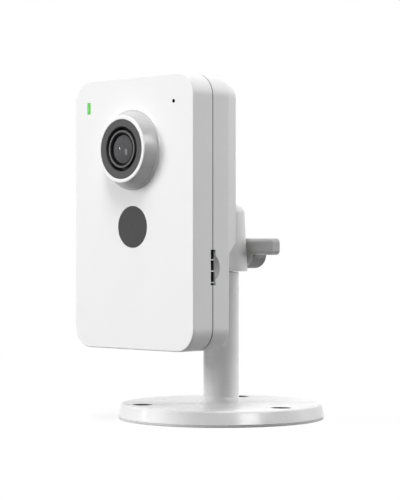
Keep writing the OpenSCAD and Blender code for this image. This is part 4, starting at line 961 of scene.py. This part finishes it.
def makeLens(look):
    inner, front, rear = look["cone"]
    # The shroud's side is painted darker, as painted shade
    mesh = turnedMesh("lensShroud", look["shroud"], lensMid, segments=160, steps=6,
                      paints=[lambda across, along: across > inner and front < along < rear])
    addPiece("lensShroud", mesh, "camera", "shroud_white", ["lens_shroud"], ["shroud_side"])
    addPiece("lensBezel", turnedMesh("lensBezel", look["bezel"], lensMid, segments=128),
             "camera", "bezel_grey", ["lens_bezel"])
    addPiece("lensBarrel", turnedMesh("lensBarrel", look["barrel"], lensMid),
             "camera", "lens_metal", ["lens_barrel"])
    # The ring is blackened all over
    mesh = turnedMesh("lensRing", look["ring"], lensMid, paints=[lambda across, along: True])
    addPiece("lensRing", mesh, "camera", "lens_metal", ["lens_ring"], ["lens_black"])
    # The glass's grey is dark glass lightened by painted reflection
    mesh = turnedMesh("frontGlass", look["glass"], lensMid, closed=False,
                      paints=[lambda across, along: across > look["clearRadius"]])
    addPiece("frontGlass", mesh, "camera", "lens_glass", ["front_lens"], ["lens_black"])


makeLens(lensLook)
print("lens made")


windowLook = {"section": [(0, 0.02), (8.18, 0.02, 0.2), (8.18, 1.2), (0, 1.2)]}
lightLook = {"edge": 0.12}


def makeWindow(look):
    addPiece("irWindow", turnedMesh("irWindow", look["section"], windowMid, closed=False, segments=128),
             "camera", "smoked_window", ["ir_window"])


def makeLightPipe(look):
    mesh = softenedMesh("lightPipe", "light_pipe", [(lambda p: close(depth(p), 0), look["edge"], 2)])
    addPiece("lightPipe", mesh, "camera", "green_light", ["light_pipe"])


makeWindow(windowLook)
makeLightPipe(lightLook)
print("window and light made")


headLook = {
    "low": 61.0,           # mm above the floor
    "lowRadius": 10.5,     # the lower edge lies outside this
    "lowEdge": 0.35,
    "slotLow": 61.5,
    "slotHalf": 3.35,      # half the width of the neck's slot
    "slotRadius": 9,
    "slotEdge": 0.3,
}


def makeHead(look):
    def slotEdge(p):
        return (p.z > look["slotLow"] and p.y < 0 and close(abs(p.x), look["slotHalf"], play["block"])
                and fromPole(p) > look["slotRadius"])

    mesh = softenedMesh("swivelHead", "head", [
        (lambda p: close(p.z, look["low"]) and fromPole(p) > look["lowRadius"], look["lowEdge"], 3),
        (slotEdge, look["slotEdge"], 2)])
    addPiece("swivelHead", mesh, "head", "stand_white", ["head"])


knobLook = {
    "backEdge": 0.8,       # mm
    "tipEdge": 1.4,
    "tipDepth": 0.6,       # the tips are rounded down to here, from the knob's front
    # Painted shade, a darker grey: the hub's side and back, and the wings' undersides
    "shadeBehind": 4.5,
    "hubRadius": 6.32,
    "hubDepth": 1.7,
    "wingLow": -0.67,
    "wingDepth": 0.8,
}


def makeKnob(look):
    low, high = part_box("wing_knob")
    front, back, tip = low.y / mm, high.y / mm, high.x / mm

    # The hub and the wings' undersides are painted darker, as painted shade
    def onKnobShade(p):
        behind = p.y - front
        up = p.z - knobMid.z / mm
        onHub = math.hypot(p.x, up) < look["hubRadius"]
        under = (up if p.x > 0 else -up) < look["wingLow"]
        return (behind > look["shadeBehind"] or (onHub and behind > look["hubDepth"])
                or (not onHub and under and behind > look["wingDepth"]))

    mesh = softenedMesh("wingKnob", "wing_knob", [
        (lambda p: close(p.y, back), look["backEdge"], 3),
        (lambda p: close(abs(p.x), tip) and p.y < front + look["tipDepth"], look["tipEdge"], 4)],
        paints=[onKnobShade])
    addPiece("wingKnob", mesh, "knob", "knob_grey", ["wing_knob"], ["knob_grip"])


makeHead(headLook)
makeKnob(knobLook)
print("head and knob made")


standLook = {
    "footTop": 6.3,        # mm above the floor
    "lowRadius": 42,
    "lowEdge": 0.25,
    "poleRadius": 7,
    "poleEdge": 0.3,
    "holeTurns": (0, 120, 240),
    "holeRing": 33.5,      # radius on which the screw holes stand
    "holeBand": (28, 38.5),
    "holeEdge": 0.15,
    "holeShadeRadius": 4.25,  # the counterbores are painted dark inside, as painted shade
    "liningTop": 6.16,
    # Lip of the rubber pad under the rim: radius, height, radius of rounding
    "lip": [(39.95, 0.05), (42.5, 0.05, 0.2), (42.6, 0.86, 0.08), (39.95, 0.86)],
}


def makeStand(look):
    low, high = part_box("stand")
    turns = [math.radians(turn) for turn in look["holeTurns"]]
    holes = [Vector((math.cos(turn), math.sin(turn), 0)) * look["holeRing"] for turn in turns]

    def holeEdge(p):
        nearest, farthest = look["holeBand"]
        return close(p.z, look["footTop"]) and nearest < fromPole(p) < farthest

    # Inside the counterbores, painted dark as shade
    def inHole(p):
        return p.z < look["liningTop"] and any(fromPole(p - hole) < look["holeShadeRadius"] for hole in holes)

    mesh = softenedMesh("tableStand", "stand", [
        (holeEdge, look["holeEdge"], 2),
        (lambda p: close(p.z, low.z / mm) and fromPole(p) > look["lowRadius"], look["lowEdge"], 2),
        (lambda p: close(p.z, high.z / mm) and fromPole(p) > look["poleRadius"], look["poleEdge"], 2)],
        paints=[inHole])
    addPiece("tableStand", mesh, "stand", "stand_white", ["stand"], ["hole_lining"])
    section = [(across, height - faceMm, *edge) for across, height, *edge in look["lip"]]
    lip = turnedMesh("padLip", section, Vector((0, 0, 0)), segments=160, steps=3)
    lip.transform(Matrix.Rotation(math.radians(90), 4, "X"))
    # The lip's grey is painted paler as painted light, since it lies in shade under the rim
    addPiece("padLip", lip, "stand", "rubber_grey")


makeStand(standLook)
print("stand made")


# The CAD nodes that stay get their slot's finish, and the speaker its cloth
nodeSlots = {part["node"]: part["material_slot"] for part in frame["record"]["subparts"]}
nodeSlots["speaker"] = "speaker_cloth"
for nodeName, node in frame["nodes"].items():
    if node.hide_render:
        continue
    for i in range(len(node.data.materials)):
        node.material_slots[i].material = finishes[nodeSlots[nodeName]]
print("other parts finished")
